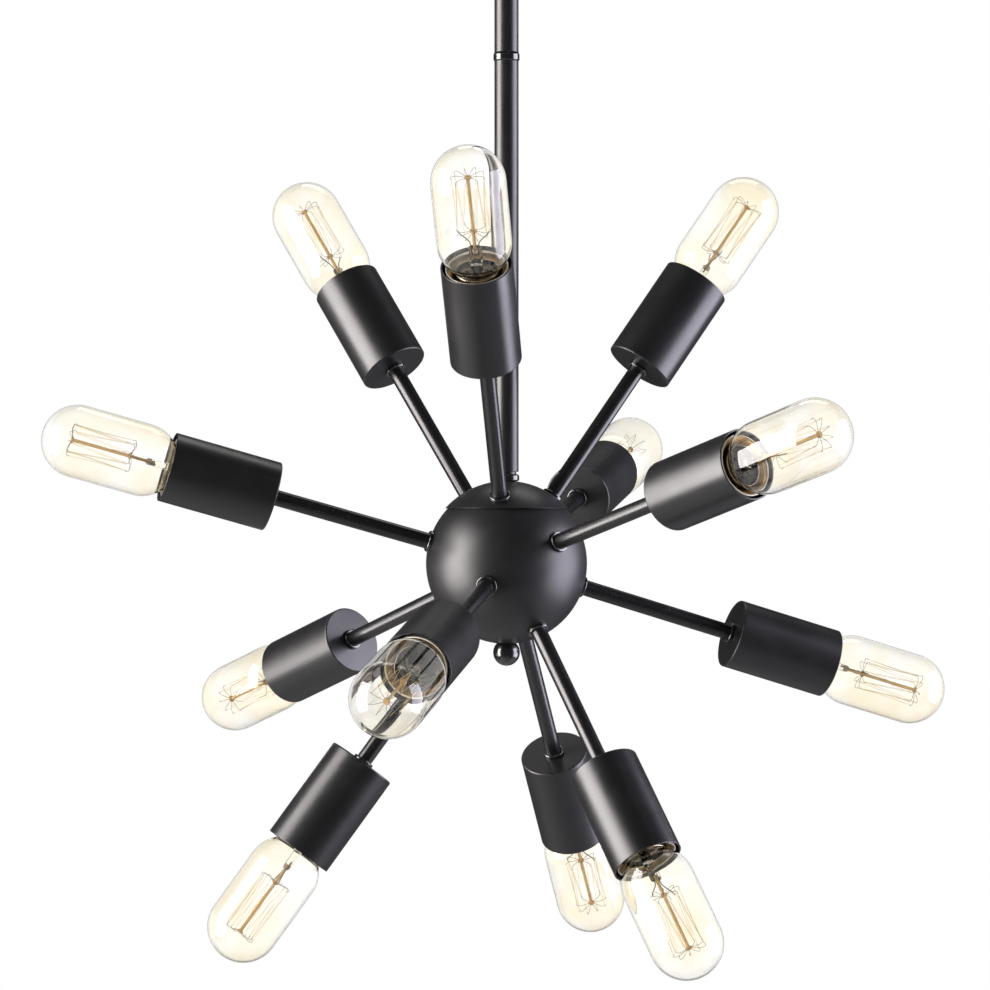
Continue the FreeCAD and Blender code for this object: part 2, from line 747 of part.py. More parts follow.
# ---- lamps: centre contact, screw cap and glass ----
contact = turned("contact_pattern", [
    ("0", lamp_foot),
    ("contact_radius", lamp_foot),
    ("contact_radius", f"{lamp_foot} + contact_height"),
    ("insulator_radius", f"{cap_foot} - fit_clearance"),
    ("0", f"{cap_foot} - fit_clearance"),
])
cap_inside = "(cap_radius - cap_wall)"
cap_mouth = "(insulator_radius - 3 * cap_wall)"
cap = turned("cap_pattern", [
    (cap_mouth, cap_foot),
    ("cap_radius - cap_chamfer", cap_foot),
    ("cap_radius", f"{cap_foot} + cap_chamfer"),
    ("cap_radius", cap_top),
    (cap_inside, cap_top),
    (cap_inside, f"{cap_foot} + cap_wall + cap_chamfer"),
    ("cap_radius - cap_wall - cap_chamfer", f"{cap_foot} + cap_wall"),
    (cap_mouth, f"{cap_foot} + cap_wall"),
])

neck_foot = f"({cap_top} - lamp_neck_sunk)"
shoulder_foot = f"({cap_top} + lamp_neck_rise)"
shoulder_middle = f"({shoulder_foot} + {height_on_ball('lamp_radius', 'lamp_neck_radius')})"
dome_middle = f"({lamp_tip} - lamp_radius)"
glass_inside = "(lamp_radius - lamp_glass_wall)"
neck_inside = "(lamp_neck_radius - lamp_glass_wall)"
envelope = turned("envelope_pattern", [
    (neck_inside, neck_foot),
    ("lamp_neck_radius", neck_foot),
    ("lamp_neck_radius", shoulder_foot),
    ("lamp_radius", shoulder_middle, "lamp_radius"),
    ("lamp_radius", dome_middle),
    ("0", lamp_tip, "lamp_radius"),
    ("0", f"{lamp_tip} - lamp_glass_wall"),
    (glass_inside, dome_middle, f"-{glass_inside}"),
    (glass_inside, shoulder_middle),
    (neck_inside, f"{shoulder_middle} - {height_on_ball(glass_inside, neck_inside)}",
     f"-{glass_inside}"),
])
upper_hub = "(post_height - hub_height)"
lower_hub_top = "(lower_hub_height + hub_height)"
mount = turned("lamp_mount_pattern", [
    ("0", neck_foot),
    (f"{neck_inside} - fit_clearance", neck_foot),
    ("pinch_radius", f"{neck_foot} + flare_height"),
    ("pinch_radius", f"{neck_foot} + pinch_height"),
    ("post_radius", f"{neck_foot} + pinch_height"),
    ("post_radius", f"{neck_foot} + lower_hub_height"),
    ("hub_radius", f"{neck_foot} + lower_hub_height"),
    ("hub_radius", f"{neck_foot} + {lower_hub_top}"),
    ("post_radius", f"{neck_foot} + {lower_hub_top}"),
    ("post_radius", f"{neck_foot} + {upper_hub}"),
    ("hub_radius", f"{neck_foot} + {upper_hub}"),
    ("hub_radius", f"{neck_foot} + post_height"),
    ("0", f"{neck_foot} + post_height"),
])
glass = joined("glass_pattern", [envelope, mount])
for ring in rings:
    for light in rings[ring]:
        for word, pattern in (("contact", contact), ("cap", cap), ("glass", glass)):
            name = f"bulb_{word}_{light}"
            nodes[name] = on_arm(name, pattern, ring, light)

# ---- checks and export ----
doc.recompute()
for thing in doc.Objects:
    if "Invalid" in thing.State or "Error" in thing.State:
        raise RuntimeError(f"{thing.Name} did not build: {thing.State}")
for name, node in nodes.items():
    node.Label = name
    if node.Shape.isNull() or not node.Shape.isValid():
        raise RuntimeError(f"{name} has no valid shape")
for name, wall in (("sphere_body", "sphere_wall"), ("sphere_lid", "lid_wall")):
    node = nodes[name]
    holes = len(node.Tool.Shapes)
    bored = (node.Base.Shape.Volume - node.Shape.Volume) / holes
    plug = math.pi * number(hole_radius) ** 2 * number(wall)
    if abs(bored / plug - 1) > 0.05:
        raise RuntimeError(f"{name} lacks some of its {holes} arm holes")
os.makedirs("parts", exist_ok=True)
for name, node in nodes.items():
    node.Shape.exportStep(f"parts/{name}.step")
    print(f"{name}: {len(node.Shape.Solids)} solids, {node.Shape.Volume:.0f} mm3")
print(f"{len(nodes)} nodes, sphere centre at z = {number(sphere_centre):.1f}")
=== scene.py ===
import json
import math

import bmesh
import bpy
import numpy as np
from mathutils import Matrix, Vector


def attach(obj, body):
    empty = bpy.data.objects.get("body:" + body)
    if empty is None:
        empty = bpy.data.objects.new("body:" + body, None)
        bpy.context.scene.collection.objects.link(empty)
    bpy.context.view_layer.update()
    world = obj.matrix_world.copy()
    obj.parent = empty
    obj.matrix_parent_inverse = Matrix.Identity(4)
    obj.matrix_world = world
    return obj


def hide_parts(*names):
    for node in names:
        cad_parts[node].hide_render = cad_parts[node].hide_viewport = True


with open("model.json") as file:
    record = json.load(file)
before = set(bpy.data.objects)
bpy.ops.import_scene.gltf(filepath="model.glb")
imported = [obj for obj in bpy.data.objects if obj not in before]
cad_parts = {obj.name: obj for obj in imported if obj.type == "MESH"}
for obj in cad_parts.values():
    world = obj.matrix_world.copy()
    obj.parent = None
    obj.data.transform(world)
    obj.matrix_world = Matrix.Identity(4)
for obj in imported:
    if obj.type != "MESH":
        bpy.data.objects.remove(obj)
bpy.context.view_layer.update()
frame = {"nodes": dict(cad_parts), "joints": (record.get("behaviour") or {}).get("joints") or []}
print("frame loaded")

# lengths are in millimetres from the ceiling's centre until a piece is built
joints = {joint["name"]: joint for joint in frame["joints"]}
ballCentre = np.array(joints["bulb_01_turn"]["pos_m"]) * 1000
pivotHeight = joints["stem_tilt"]["pos_m"][2] * 1000
lights = [f"{number:02d}" for number in range(1, 13)]
lidLights, ballLights = lights[:3], lights[3:]
dice = np.random.default_rng(12)
facets = {"fine": 48, "ring": 64, "rod": 96}  # faces round a turned piece


# outline with rounded corners: a corner (radius, height, round) is cut back along both sides and
# bridged by an arc of that round; the third column is 1 on the arcs, where paint wears first
def rounded(corners, closed=True, arcSteps=4):
    spots = np.array([corner[:2] for corner in corners], float)
    rows = []
    for index, corner in enumerate(corners):
        here = spots[index]
        bend = corner[2] if len(corner) > 2 else 0
        if not bend or (not closed and index in (0, len(corners) - 1)):
            rows.append((*here, 0.0))
            continue
        back, ahead = spots[index - 1] - here, spots[(index + 1) % len(spots)] - here
        backLength, aheadLength = np.linalg.norm(back), np.linalg.norm(ahead)
        back, ahead = back / backLength, ahead / aheadLength
        half = math.acos(np.clip(back @ ahead, -1, 1)) / 2
        cut = min(bend / math.tan(half), 0.48 * min(backLength, aheadLength))
        radius = cut * math.tan(half)
        middle = (back + ahead) / np.linalg.norm(back + ahead)
        centre = here + middle * radius / math.sin(half)
        start, end = here + back * cut - centre, here + ahead * cut - centre
        for share in np.linspace(0, 1, arcSteps + 1):
            spoke = start * (1 - share) + end * share
            rows.append((*(centre + spoke * radius / np.linalg.norm(spoke)), 1.0))
    return supported(np.array(rows), closed)


# adds a point close to both ends of each long straight, so shading stays flat between round edges
def supported(rows, closed, gap=0.3):
    out = []
    last = len(rows) if closed else len(rows) - 1
    for index in range(len(rows)):
        here, ahead = rows[index], rows[(index + 1) % len(rows)]
        out.append(here)
        span = np.linalg.norm(ahead[:2] - here[:2])
        if index < last and span > 4 * gap:
            for share in (gap / span, 1 - gap / span):
                spot = here * (1 - share) + ahead * share
                out.append((spot[0], spot[1], 0.0))
    return np.array(out)


# points on a circle round (0, centre), as outline corners from one angle to another
def bow(centre, radius, first, last, count):
    angle = np.radians(np.linspace(first, last, count))
    return [(radius * math.cos(a), centre + radius * math.sin(a)) for a in angle]


# outline points without an edge mark
def plain(spots):
    return [(*spot, 0.0) for spot in spots]


# straight side of an outline: one radius at many heights, which a thread can then shape
def straight(radius, heights):
    return plain((radius, height) for height in heights)


# four-cornered faces between neighbouring rows and columns of a grid of points
def gridFaces(rows, columns, wrapRows, wrapColumns):
    a, b = np.meshgrid(np.arange(rows if wrapRows else rows - 1),
                       np.arange(columns if wrapColumns else columns - 1), indexing="ij")
    c, d = (a + 1) % rows, (b + 1) % columns
    return np.stack([a * columns + b, c * columns + b, c * columns + d, a * columns + d],
                    -1).reshape(-1, 4)


# surface of revolution: (radius cos turn, radius sin turn, height) over all turns and outline
# points; reshape may change the radius by turn and height, as a thread or a pinch does
def turned(outline, steps, closed=True, reshape=None):
    outline = np.array(outline)
    turn = (np.arange(steps) * (2 * np.pi / steps))[:, None]
    radius = np.tile(outline[:, 0], (steps, 1))
    height = np.tile(outline[:, 1], (steps, 1))
    if reshape:
        radius = reshape(turn, radius, height)
    points = np.stack([radius * np.cos(turn), radius * np.sin(turn), height], -1)
    return {
        "points": points.reshape(-1, 3),
        "faces": gridFaces(steps, len(outline), True, closed),
        "edge": np.tile(outline[:, 2], steps),
    }


# rises from 0 to 1 between two values, with level ends
def smoothStep(low, high, value):
    share = np.clip((value - low) / (high - low), 0, 1)
    return share * share * (3 - 2 * share)


# screw thread: the radius swells and shrinks with height over pitch less turn over a full circle
def threadWave(pitch, depth, foot, top, outerOnly=0.0):
    def reshape(turn, radius, height):
        inside = smoothStep(foot, foot + pitch, height) * smoothStep(-top, pitch - top, -height)
        wave = np.cos(2 * np.pi * height / pitch - turn)
        return radius + np.where(radius > outerOnly, depth * inside * (wave - 1) / 2, 0)
    return reshape


# round wire along a path: each point carries a ring of the wire's radius, square to the path,
# and the first and last rings shrink to a point
def wire(path, radius, guide, sides=6):
    tangent = np.gradient(path, axis=0)
    tangent /= np.linalg.norm(tangent, axis=1, keepdims=True)
    side = np.cross(tangent, guide)
    side /= np.linalg.norm(side, axis=1, keepdims=True)
    other = np.cross(side, tangent)
    angle = np.arange(sides) * (2 * np.pi / sides)
    size = np.full(len(path), float(radius))
    size[[0, -1]] = 0
    ring = (side[:, None] * np.cos(angle)[None, :, None]
            + other[:, None] * np.sin(angle)[None, :, None])
    points = path[:, None] + ring * size[:, None, None]
    return {
        "points": points.reshape(-1, 3),
        "faces": gridFaces(len(path), sides, False, True),
        "edge": np.zeros(len(path) * sides),
    }


# smooth curve through all the given points: each stretch is a cubic of its four nearest points
def smoothPath(spots, stepsEach=5):
    spots = np.array(spots, float)
    spots = np.vstack([2 * spots[0] - spots[1], spots, 2 * spots[-1] - spots[-2]])
    share = np.linspace(0, 1, stepsEach, endpoint=False)[:, None, None]
    a, b, c, d = spots[:-3], spots[1:-2], spots[2:-1], spots[3:]
    curve = 0.5 * (2 * b + (c - a) * share + (2 * a - 5 * b + 4 * c - d) * share ** 2
                   + (3 * b - a - 3 * c + d) * share ** 3)
    return np.vstack([curve.transpose(1, 0, 2).reshape(-1, 3), spots[-2]])


def moved(surface, turn=np.eye(3), base=(0, 0, 0)):
    return {**surface, "points": surface["points"] @ np.array(turn).T + np.array(base)}


def together(surfaces):
    counts = np.cumsum([0] + [len(surface["points"]) for surface in surfaces])
    return {
        "points": np.vstack([surface["points"] for surface in surfaces]),
        "faces": np.vstack([surface["faces"] + start
                            for surface, start in zip(surfaces, counts)]),
        "edge": np.concatenate([surface["edge"] for surface in surfaces]),
    }


# turns +Z to an arm's direction, which the lamp's own joint gives
def armTurn(light):
    out = np.array(joints[f"bulb_{light}_turn"]["axis"])
    across = np.cross((0, 0, 1), out)
    across /= np.linalg.norm(across)
    return np.column_stack([np.cross(across, out), across, out])


def atBall(surface):
    return moved(surface, base=ballCentre)


def onArm(surface, light):
    return moved(surface, armTurn(light), ballCentre)


def onArms(surface, some=lights):
    return together([onArm(surface, light) for light in some])


def inMetres(points):
    return points * 0.001


def newGroup(name, inputs, outputs):
    group = bpy.data.node_groups.new(name, "ShaderNodeTree")
    for word, value in inputs.items():
        socket = group.interface.new_socket(word, in_out="INPUT", socket_type="NodeSocketFloat")
        socket.default_value = value
    for word in outputs:
        group.interface.new_socket(word, in_out="OUTPUT", socket_type="NodeSocketFloat")
    given = group.nodes.new("NodeGroupInput").outputs
    return group, given, group.nodes.new("NodeGroupOutput")


# gives a node its inputs: another node's output is linked, and a plain value is set
def feed(tree, node, values):
    for socket, value in values.items():
        if isinstance(value, bpy.types.NodeSocket):
            tree.links.new(value, node.inputs[socket])
        else:
            node.inputs[socket].default_value = value
    return node


def addNode(tree, kind, inputs=None, **settings):
    node = tree.nodes.new(kind)
    for word, value in settings.items():
        setattr(node, word, value)
    return feed(tree, node, inputs or {})


def mathNode(tree, operation, *values):
    inputs = dict(enumerate(values))
    return addNode(tree, "ShaderNodeMath", inputs, operation=operation).outputs[0]


def rangeNode(tree, value, low, high, toLow=0.0, toHigh=1.0):
    inputs = {"Value": value, "From Min": low, "From Max": high, "To Min": toLow, "To Max": toHigh}
    return addNode(tree, "ShaderNodeMapRange", inputs,
                   interpolation_type="SMOOTHSTEP").outputs[0]


def noiseNode(tree, scale, detail=3.0, roughness=0.55):
    place = addNode(tree, "ShaderNodeTexCoord").outputs["Object"]
    inputs = {"Vector": place, "Scale": scale, "Detail": detail, "Roughness": roughness}
    return addNode(tree, "ShaderNodeTexNoise", inputs).outputs[0]


# orange-peel and speckle of a sprayed coat: coarse swells with fine grain on top
def makePaintGrain():
    group, given, result = newGroup("paintGrain", {"Scale": 900.0, "Grain": 0.5},
                                    ("Height", "Patches"))
    swells = noiseNode(group, given["Scale"], 2.0)
    fine = noiseNode(group, mathNode(group, "MULTIPLY", given["Scale"], 4.3), 1.0)
    fineHeight = mathNode(group, "MULTIPLY", fine, given["Grain"])
    feed(group, result, {"Height": mathNode(group, "ADD", swells, fineHeight),
                         "Patches": noiseNode(group, 38.0, 4.0, 0.6)})
    return group


# wear along rounded edges: the pieces' own edge mark, broken up by noise
def makeEdgeWear():
    group, given, result = newGroup("edgeWear", {"Amount": 0.5, "Scale": 260.0}, ("Mask",))
    mark = addNode(group, "ShaderNodeAttribute", attribute_name="edgeMark").outputs["Fac"]
    broken = rangeNode(group, noiseNode(group, given["Scale"], 4.0, 0.65), 0.42, 0.62)
    mask = mathNode(group, "MULTIPLY", mark, broken)
    feed(group, result, {"Mask": mathNode(group, "MULTIPLY", mask, given["Amount"])})
    return group


# dust that settles on what faces up, thicker in cloudy patches
def makeDust():
    group, given, result = newGroup("settledDust", {"Amount": 0.3}, ("Mask",))
    facing = addNode(group, "ShaderNodeTexCoord").outputs["Normal"]
    upward = addNode(group, "ShaderNodeSeparateXYZ", {0: facing}).outputs["Z"]
    level = rangeNode(group, upward, 0.35, 1.0)
    clouds = rangeNode(group, noiseNode(group, 55.0, 5.0, 0.7), 0.35, 0.75)
    mask = mathNode(group, "MULTIPLY", level, clouds)
    feed(group, result, {"Mask": mathNode(group, "MULTIPLY", mask, given["Amount"])})
    return group


# fine scratches and tool marks of bare metal: noise drawn out long in one direction
def makeToolMarks():
    group, given, result = newGroup("toolMarks", {"Scale": 500.0, "Stretch": 0.06},
                                    ("Height", "Tarnish"))
    place = addNode(group, "ShaderNodeTexCoord").outputs["Object"]
    squeeze = addNode(group, "ShaderNodeCombineXYZ",
                      {"X": 1.0, "Y": 1.0, "Z": given["Stretch"]}).outputs[0]
    drawn = addNode(group, "ShaderNodeVectorMath", {0: place, 1: squeeze},
                    operation="MULTIPLY").outputs[0]
    marks = addNode(group, "ShaderNodeTexNoise",
                    {"Vector": drawn, "Scale": given["Scale"], "Detail": 4.0}).outputs[0]
    tarnish = rangeNode(group, noiseNode(group, 90.0, 5.0, 0.6), 0.35, 0.7)
    feed(group, result, {"Height": marks, "Tarnish": tarnish})
    return group


groups = {
    "paintGrain": makePaintGrain(),
    "edgeWear": makeEdgeWear(),
    "settledDust": makeDust(),
    "toolMarks": makeToolMarks(),
}


def addGroup(tree, name, values):
    return addNode(tree, "ShaderNodeGroup", values, node_tree=groups[name])


# mix of two colours, each a node's output or three numbers
def mixColour(tree, share, first, second):
    first, second = (colour if isinstance(colour, bpy.types.NodeSocket) else (*colour, 1)
                     for colour in (first, second))
    return addNode(tree, "ShaderNodeMix", {0: share, 6: first, 7: second},
                   data_type="RGBA").outputs[2]


def newFinish(name, values):
    material = bpy.data.materials.new(name)
    material.use_nodes = True
    tree = material.node_tree
    shader = next(node for node in tree.nodes if node.type == "BSDF_PRINCIPLED")
    return material, tree, feed(tree, shader, values)


def bumpNode(tree, height, strength, distance=0.0002):
    inputs = {"Height": height, "Strength": strength, "Distance": distance}
    return addNode(tree, "ShaderNodeBump", inputs).outputs[0]


# sprayed black: speckled grain, patchy sheen, a little wear on edges and dust on top
def paintFinish(name, look):
    material, tree, shader = newFinish(name, {
        "Specular IOR Level": look["specular"], "Coat Weight": look["coat"],
        "Coat Roughness": look["coatRoughness"]})
    grain = addGroup(tree, "paintGrain",
                     {"Scale": look["grainScale"], "Grain": look["grain"]}).outputs
    wear = addGroup(tree, "edgeWear", {"Amount": look["wear"]}).outputs["Mask"]
    dust = addGroup(tree, "settledDust", {"Amount": look["dust"]}).outputs["Mask"]
    shade = mixColour(tree, grain["Patches"], look["dark"], look["light"])
    shade = mixColour(tree, wear, shade, look["worn"])
    shade = mixColour(tree, dust, shade, look["dustColour"])
    middle, spread = look["roughness"], look["roughnessSpread"]
    sheen = rangeNode(tree, grain["Patches"], 0.3, 0.7, middle - spread, middle + spread)
    dusty = mathNode(tree, "MULTIPLY", dust, 0.3)
    feed(tree, shader, {"Base Color": shade, "Roughness": mathNode(tree, "ADD", sheen, dusty),
                        "Normal": bumpNode(tree, grain["Height"], look["bump"])})
    return material


# bare metal: tool marks, and tarnish that darkens and dulls it
def metalFinish(name, look):
    material, tree, shader = newFinish(name, {"Metallic": 1.0})
    marks = addGroup(tree, "toolMarks", {"Scale": look["markScale"]}).outputs
    wear = addGroup(tree, "edgeWear", {"Amount": look["wear"]}).outputs["Mask"]
    shade = mixColour(tree, marks["Tarnish"], look["bright"], look["dull"])
    sheen = rangeNode(tree, marks["Tarnish"], 0.0, 1.0, look["roughness"],
                      look["roughness"] + look["dulling"])
    feed(tree, shader, {"Base Color": mixColour(tree, wear, shade, look["bright"]),
                        "Roughness": sheen,
                        "Normal": bumpNode(tree, marks["Height"], look["bump"])})
    return material


# clear glass: a cloudy champagne tint, with painted edge shade that greys it where the wall is
# seen edge-on
def glassFinish(name, look):
    material, tree, shader = newFinish(
        name, {"Transmission Weight": 1.0, "IOR": look["ior"], "Roughness": 0.0})
    facing = addNode(tree, "ShaderNodeLayerWeight", {"Blend": 0.5}).outputs["Facing"]
    # painted edge shade: the look's rim colour is mixed in towards edge-on faces, standing in for
    # darker surroundings seen through the glass
    rim = rangeNode(tree, facing, look["rimStart"], 1.0)
    clouds = rangeNode(tree, noiseNode(tree, look["cloudScale"], 2.0, 0.5), 0.35, 0.65)
    clear = mixColour(tree, clouds, look["clear"], look["tinted"])
    ripples = noiseNode(tree, look["rippleScale"], 1.0)
    feed(tree, shader, {"Base Color": mixColour(tree, rim, clear, look["rim"]),
                        "Normal": bumpNode(tree, ripples, look["ripple"], 0.0004)})
    return material


# glazed porcelain: patches in the glaze, browned edges and a glossy coat
def glazeFinish(name, look):
    material, tree, shader = newFinish(name, {
        "Coat Weight": look["coat"], "Coat Roughness": look["coatRoughness"],
        "Roughness": look["roughness"]})
    grain = addGroup(tree, "paintGrain",
                     {"Scale": look["grainScale"], "Grain": look["grain"]}).outputs
    wear = addGroup(tree, "edgeWear", {"Amount": look["wear"]}).outputs["Mask"]
    shade = mixColour(tree, grain["Patches"], look["dark"], look["light"])
    feed(tree, shader, {"Base Color": mixColour(tree, wear, shade, look["worn"]),
                        "Normal": bumpNode(tree, grain["Height"], look["bump"])})
    return material


satinLook = {
    "dark": (0.0036, 0.0036, 0.0040), "light": (0.0062, 0.0060, 0.0066),
    "worn": (0.036, 0.034, 0.033), "dustColour": (0.06, 0.058, 0.055),
    "specular": 0.5, "coat": 0.0, "coatRoughness": 0.2, "roughness": 0.34,
    "roughnessSpread": 0.03, "grainScale": 1400.0, "grain": 0.6, "bump": 0.06,
    "wear": 0.5, "dust": 0.05,
}
glossLook = {
    **satinLook, "dark": (0.003, 0.003, 0.0032), "light": (0.005, 0.005, 0.0053),
    "roughness": 0.2, "coat": 0.7, "coatRoughness": 0.06, "bump": 0.05, "dust": 0.03,
}
metalLook = {"wear": 0.6, "dulling": 0.14}
glassLook = {"cloudScale": 28.0, "rippleScale": 45.0}
# how each finish is made, the record's material slot for its pieces, and its look
looks = {
    "satinBlack": (paintFinish, "satin_black", satinLook),
    "ballBlack": (paintFinish, "satin_black", {**satinLook, "roughness": 0.41}),
    "armBlack": (paintFinish, "satin_black", {**satinLook, "roughness": 0.27, "bump": 0.025}),
    "glossBlack": (paintFinish, "gloss_black", glossLook),
    "zincSteel": (metalFinish, "zinc_steel", {
        **metalLook, "bright": (0.62, 0.63, 0.64), "dull": (0.38, 0.37, 0.35),
        "roughness": 0.26, "markScale": 700.0, "bump": 0.12}),
    "shellBrass": (metalFinish, "brass", {
        **metalLook, "bright": (0.27, 0.165, 0.055), "dull": (0.12, 0.075, 0.03),
        "roughness": 0.30, "markScale": 900.0, "bump": 0.08}),
    "capBrass": (metalFinish, "bulb_cap", {
        **metalLook, "bright": (0.52, 0.47, 0.38), "dull": (0.34, 0.30, 0.24),
        "roughness": 0.2, "markScale": 900.0, "bump": 0.06}),
    "solder": (metalFinish, "zinc_steel", {
        **metalLook, "bright": (0.66, 0.66, 0.64), "dull": (0.4, 0.39, 0.37),
        "roughness": 0.35, "markScale": 300.0, "bump": 0.3}),
    "wireNickel": (metalFinish, "zinc_steel", {
        **metalLook, "bright": (0.17, 0.155, 0.14), "dull": (0.07, 0.062, 0.054),
        "roughness": 0.3, "markScale": 1500.0, "bump": 0.05}),
    "filamentGold": (paintFinish, "brass", {
        **glossLook, "dark": (0.78, 0.58, 0.24), "light": (0.88, 0.70, 0.36),
        "worn": (0.5, 0.4, 0.2), "dustColour": (0.6, 0.5, 0.3), "roughness": 0.4,
        "coat": 0.0, "grainScale": 2500.0, "bump": 0.3, "dust": 0.0}),
    # in both glass looks, rim is a painted edge shade colour and its start is the facing where
    # that shade begins
    "lampGlass": (glassFinish, "clear_glass", {
        **glassLook, "clear": (1.0, 0.997, 0.98), "tinted": (0.98, 0.935, 0.82),
        "rim": (0.14, 0.14, 0.145), "rimStart": 0.76, "ior": 1.47, "ripple": 0.05}),
    "stemGlass": (glassFinish, "clear_glass", {
        **glassLook, "clear": (0.99, 0.985, 0.96), "tinted": (0.98, 0.97, 0.93),
        "rim": (0.25, 0.24, 0.20), "rimStart": 0.5, "ior": 1.5, "ripple": 0.3}),
    "amberGlass": (paintFinish, "clear_glass", {
        **glossLook, "dark": (0.54, 0.33, 0.11), "light": (0.68, 0.45, 0.18),
        "worn": (0.22, 0.09, 0.03), "dustColour": (0.5, 0.3, 0.1), "roughness": 0.15,
        "grainScale": 500.0, "bump": 0.08, "dust": 0.0}),
    "insulatorGlass": (paintFinish, "bulb_insulator", {
        **glossLook, "dark": (0.012, 0.012, 0.02), "light": (0.02, 0.02, 0.035),
        "grainScale": 300.0, "bump": 0.2, "dust": 0.0}),
    "holderGlaze": (glazeFinish, "lampholder", {
        "dark": (0.74, 0.70, 0.60), "light": (0.86, 0.83, 0.74), "worn": (0.55, 0.48, 0.36),
        "coat": 0.6, "coatRoughness": 0.08, "roughness": 0.3, "grainScale": 350.0,
        "grain": 0.2, "wear": 0.35, "bump": 0.15}),
}
finishes = {name: make(name, look) for name, (make, slot, look) in looks.items()}
print("finishes made")


# merges doubled points, as at seams and poles, and smooths all faces
def weld(mesh, gap, outwards=False):
    work = bmesh.new()
    work.from_mesh(mesh)
    bmesh.ops.remove_doubles(work, verts=work.verts, dist=gap)
    if outwards:
        bmesh.ops.recalc_face_normals(work, faces=work.faces)
    for face in work.faces:
        face.smooth = True
    work.to_mesh(mesh)
    work.free()


# a mesh becomes a piece that rides on a body, takes its finish and stands for its nodes
def addPiece(name, mesh, finish, nodes, body):
    mesh.materials.append(finishes[finish])
    piece = bpy.data.objects.new(name, mesh)
    bpy.context.scene.collection.objects.link(piece)
    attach(piece, body)
    if nodes:
        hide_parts(*nodes)
    return piece


# a piece from a surface in millimetres, with its faces turned outwards
def build(name, surface, finish, nodes, body="chandelier"):
    mesh = bpy.data.meshes.new(name)
    faces = surface["faces"]
    mesh.vertices.add(len(surface["points"]))
    mesh.vertices.foreach_set("co", inMetres(surface["points"]).astype(np.float32).ravel())
    mesh.loops.add(faces.size)
    mesh.loops.foreach_set("vertex_index", faces.astype(np.int32).ravel())
    mesh.polygons.add(len(faces))
    mesh.polygons.foreach_set("loop_start", np.arange(0, faces.size, 4, dtype=np.int32))
    mesh.update(calc_edges=True)
    mark = mesh.attributes.new("edgeMark", "FLOAT", "POINT")
    mark.data.foreach_set("value", surface["edge"].astype(np.float32))
    weld(mesh, 1e-7, True)
    addPiece(name, mesh, finish, nodes, body)


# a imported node's own shape with its edges eased, for flat and cut pieces
def easeNode(name, node, finish, width, body="chandelier"):
    mesh = frame["nodes"][node].data.copy()
    mesh.name = name
    mesh.materials.clear()
    weld(mesh, 2e-6)
    bevel = addPiece(name, mesh, finish, [node], body).modifiers.new("easedEdges", "BEVEL")
    bevel.width = width * 0.001
    bevel.segments = 2
    bevel.limit_method = "ANGLE"
    bevel.angle_limit = math.radians(35)
    bevel.harden_normals = True


# ball and lid
ball = {"radius": 50.5, "wall": 1.2, "mouthTilt": 44.2, "lidGap": 0.05, "lidTilt": 41.8,
        "hole": 5.1, "steps": 288, "rows": 84, "lidRows": 50}


# hollow ball with round holes: points nearer an arm's axis than the hole's radius move out to
# the hole's edge and keep their distance from the centre, and faces wholly inside are left out
def pierced(surface, some):
    points = surface["points"].copy()
    inside = np.zeros(len(points), bool)
    for light in some:
        out = armTurn(light)[:, 2]
        along = points @ out
        across = points - along[:, None] * out
        gap = np.linalg.norm(across, axis=1)
        near = (along > 0) & (gap < ball["hole"])
        size = np.linalg.norm(points[near], axis=1)
        rim = across[near] / np.maximum(gap[near], 1e-6)[:, None] * ball["hole"]
        points[near] = rim + out * np.sqrt(size ** 2 - ball["hole"] ** 2)[:, None]
        inside |= near
    keep = ~inside[surface["faces"]].all(axis=1)
    return {**surface, "points": points, "faces": surface["faces"][keep]}


# angle above level at which a circle of that radius meets the hole for the rod
def holeTilt(radius):
    return math.degrees(math.acos(ball["hole"] / radius))


# arcs of the outer and inner radius, turned round: the ball is open at its foot and mouth, and the
# lid is a cap that overlaps the mouth and ends in a narrow flat rim
def makeBall():
    radius, wall = ball["radius"], ball["wall"]
    mouth = radius * math.sin(math.radians(ball["mouthTilt"]))
    inner = radius - wall
    outline = bow(0, radius, -holeTilt(radius), ball["mouthTilt"], ball["rows"])
    outline += bow(0, inner, math.degrees(math.asin(mouth / inner)), -holeTilt(inner),
                   ball["rows"])
    shell = pierced(turned(plain(outline), ball["steps"]), ballLights)
    build("ballShell", atBall(shell), "ballBlack", ["sphere_body"])
    inner = radius + ball["lidGap"]
    outer = inner + wall
    foot = outer * math.sin(math.radians(ball["lidTilt"]))
    rimInner = math.degrees(math.asin(foot / inner))
    outline = bow(0, outer, ball["lidTilt"] + 0.35, holeTilt(outer), ball["lidRows"])
    outline += bow(0, inner, holeTilt(inner), rimInner + 0.2, ball["lidRows"])
    outerFoot, innerFoot = math.sqrt(outer ** 2 - foot ** 2), math.sqrt(inner ** 2 - foot ** 2)
    rim = [(innerFoot + 0.1, foot, 1.0), (outerFoot - 0.25, foot, 1.0),
           (outerFoot - 0.07, foot + 0.08, 1.0)]
    lid = pierced(turned(plain(outline) + rim, ball["steps"]), lidLights)
    build("ballLid", atBall(lid), "ballBlack", ["sphere_lid"])


makeBall()
print("ball and lid turned")

# centre rod, collar and finial
rod = {"radius": 5.0, "bore": 3.2, "foot": -58.343, "top": 67.4, "pitch": 25.4 / 27, "depth": 0.5}
collar = {"bore": 5.05, "radius": 8.0, "foot": 51.498, "height": 4.3, "chamfer": 0.8}
finial = {"radius": 8.4, "drop": 5.6, "top": -50.242, "bore": 5.05, "boreTop": -58.443}


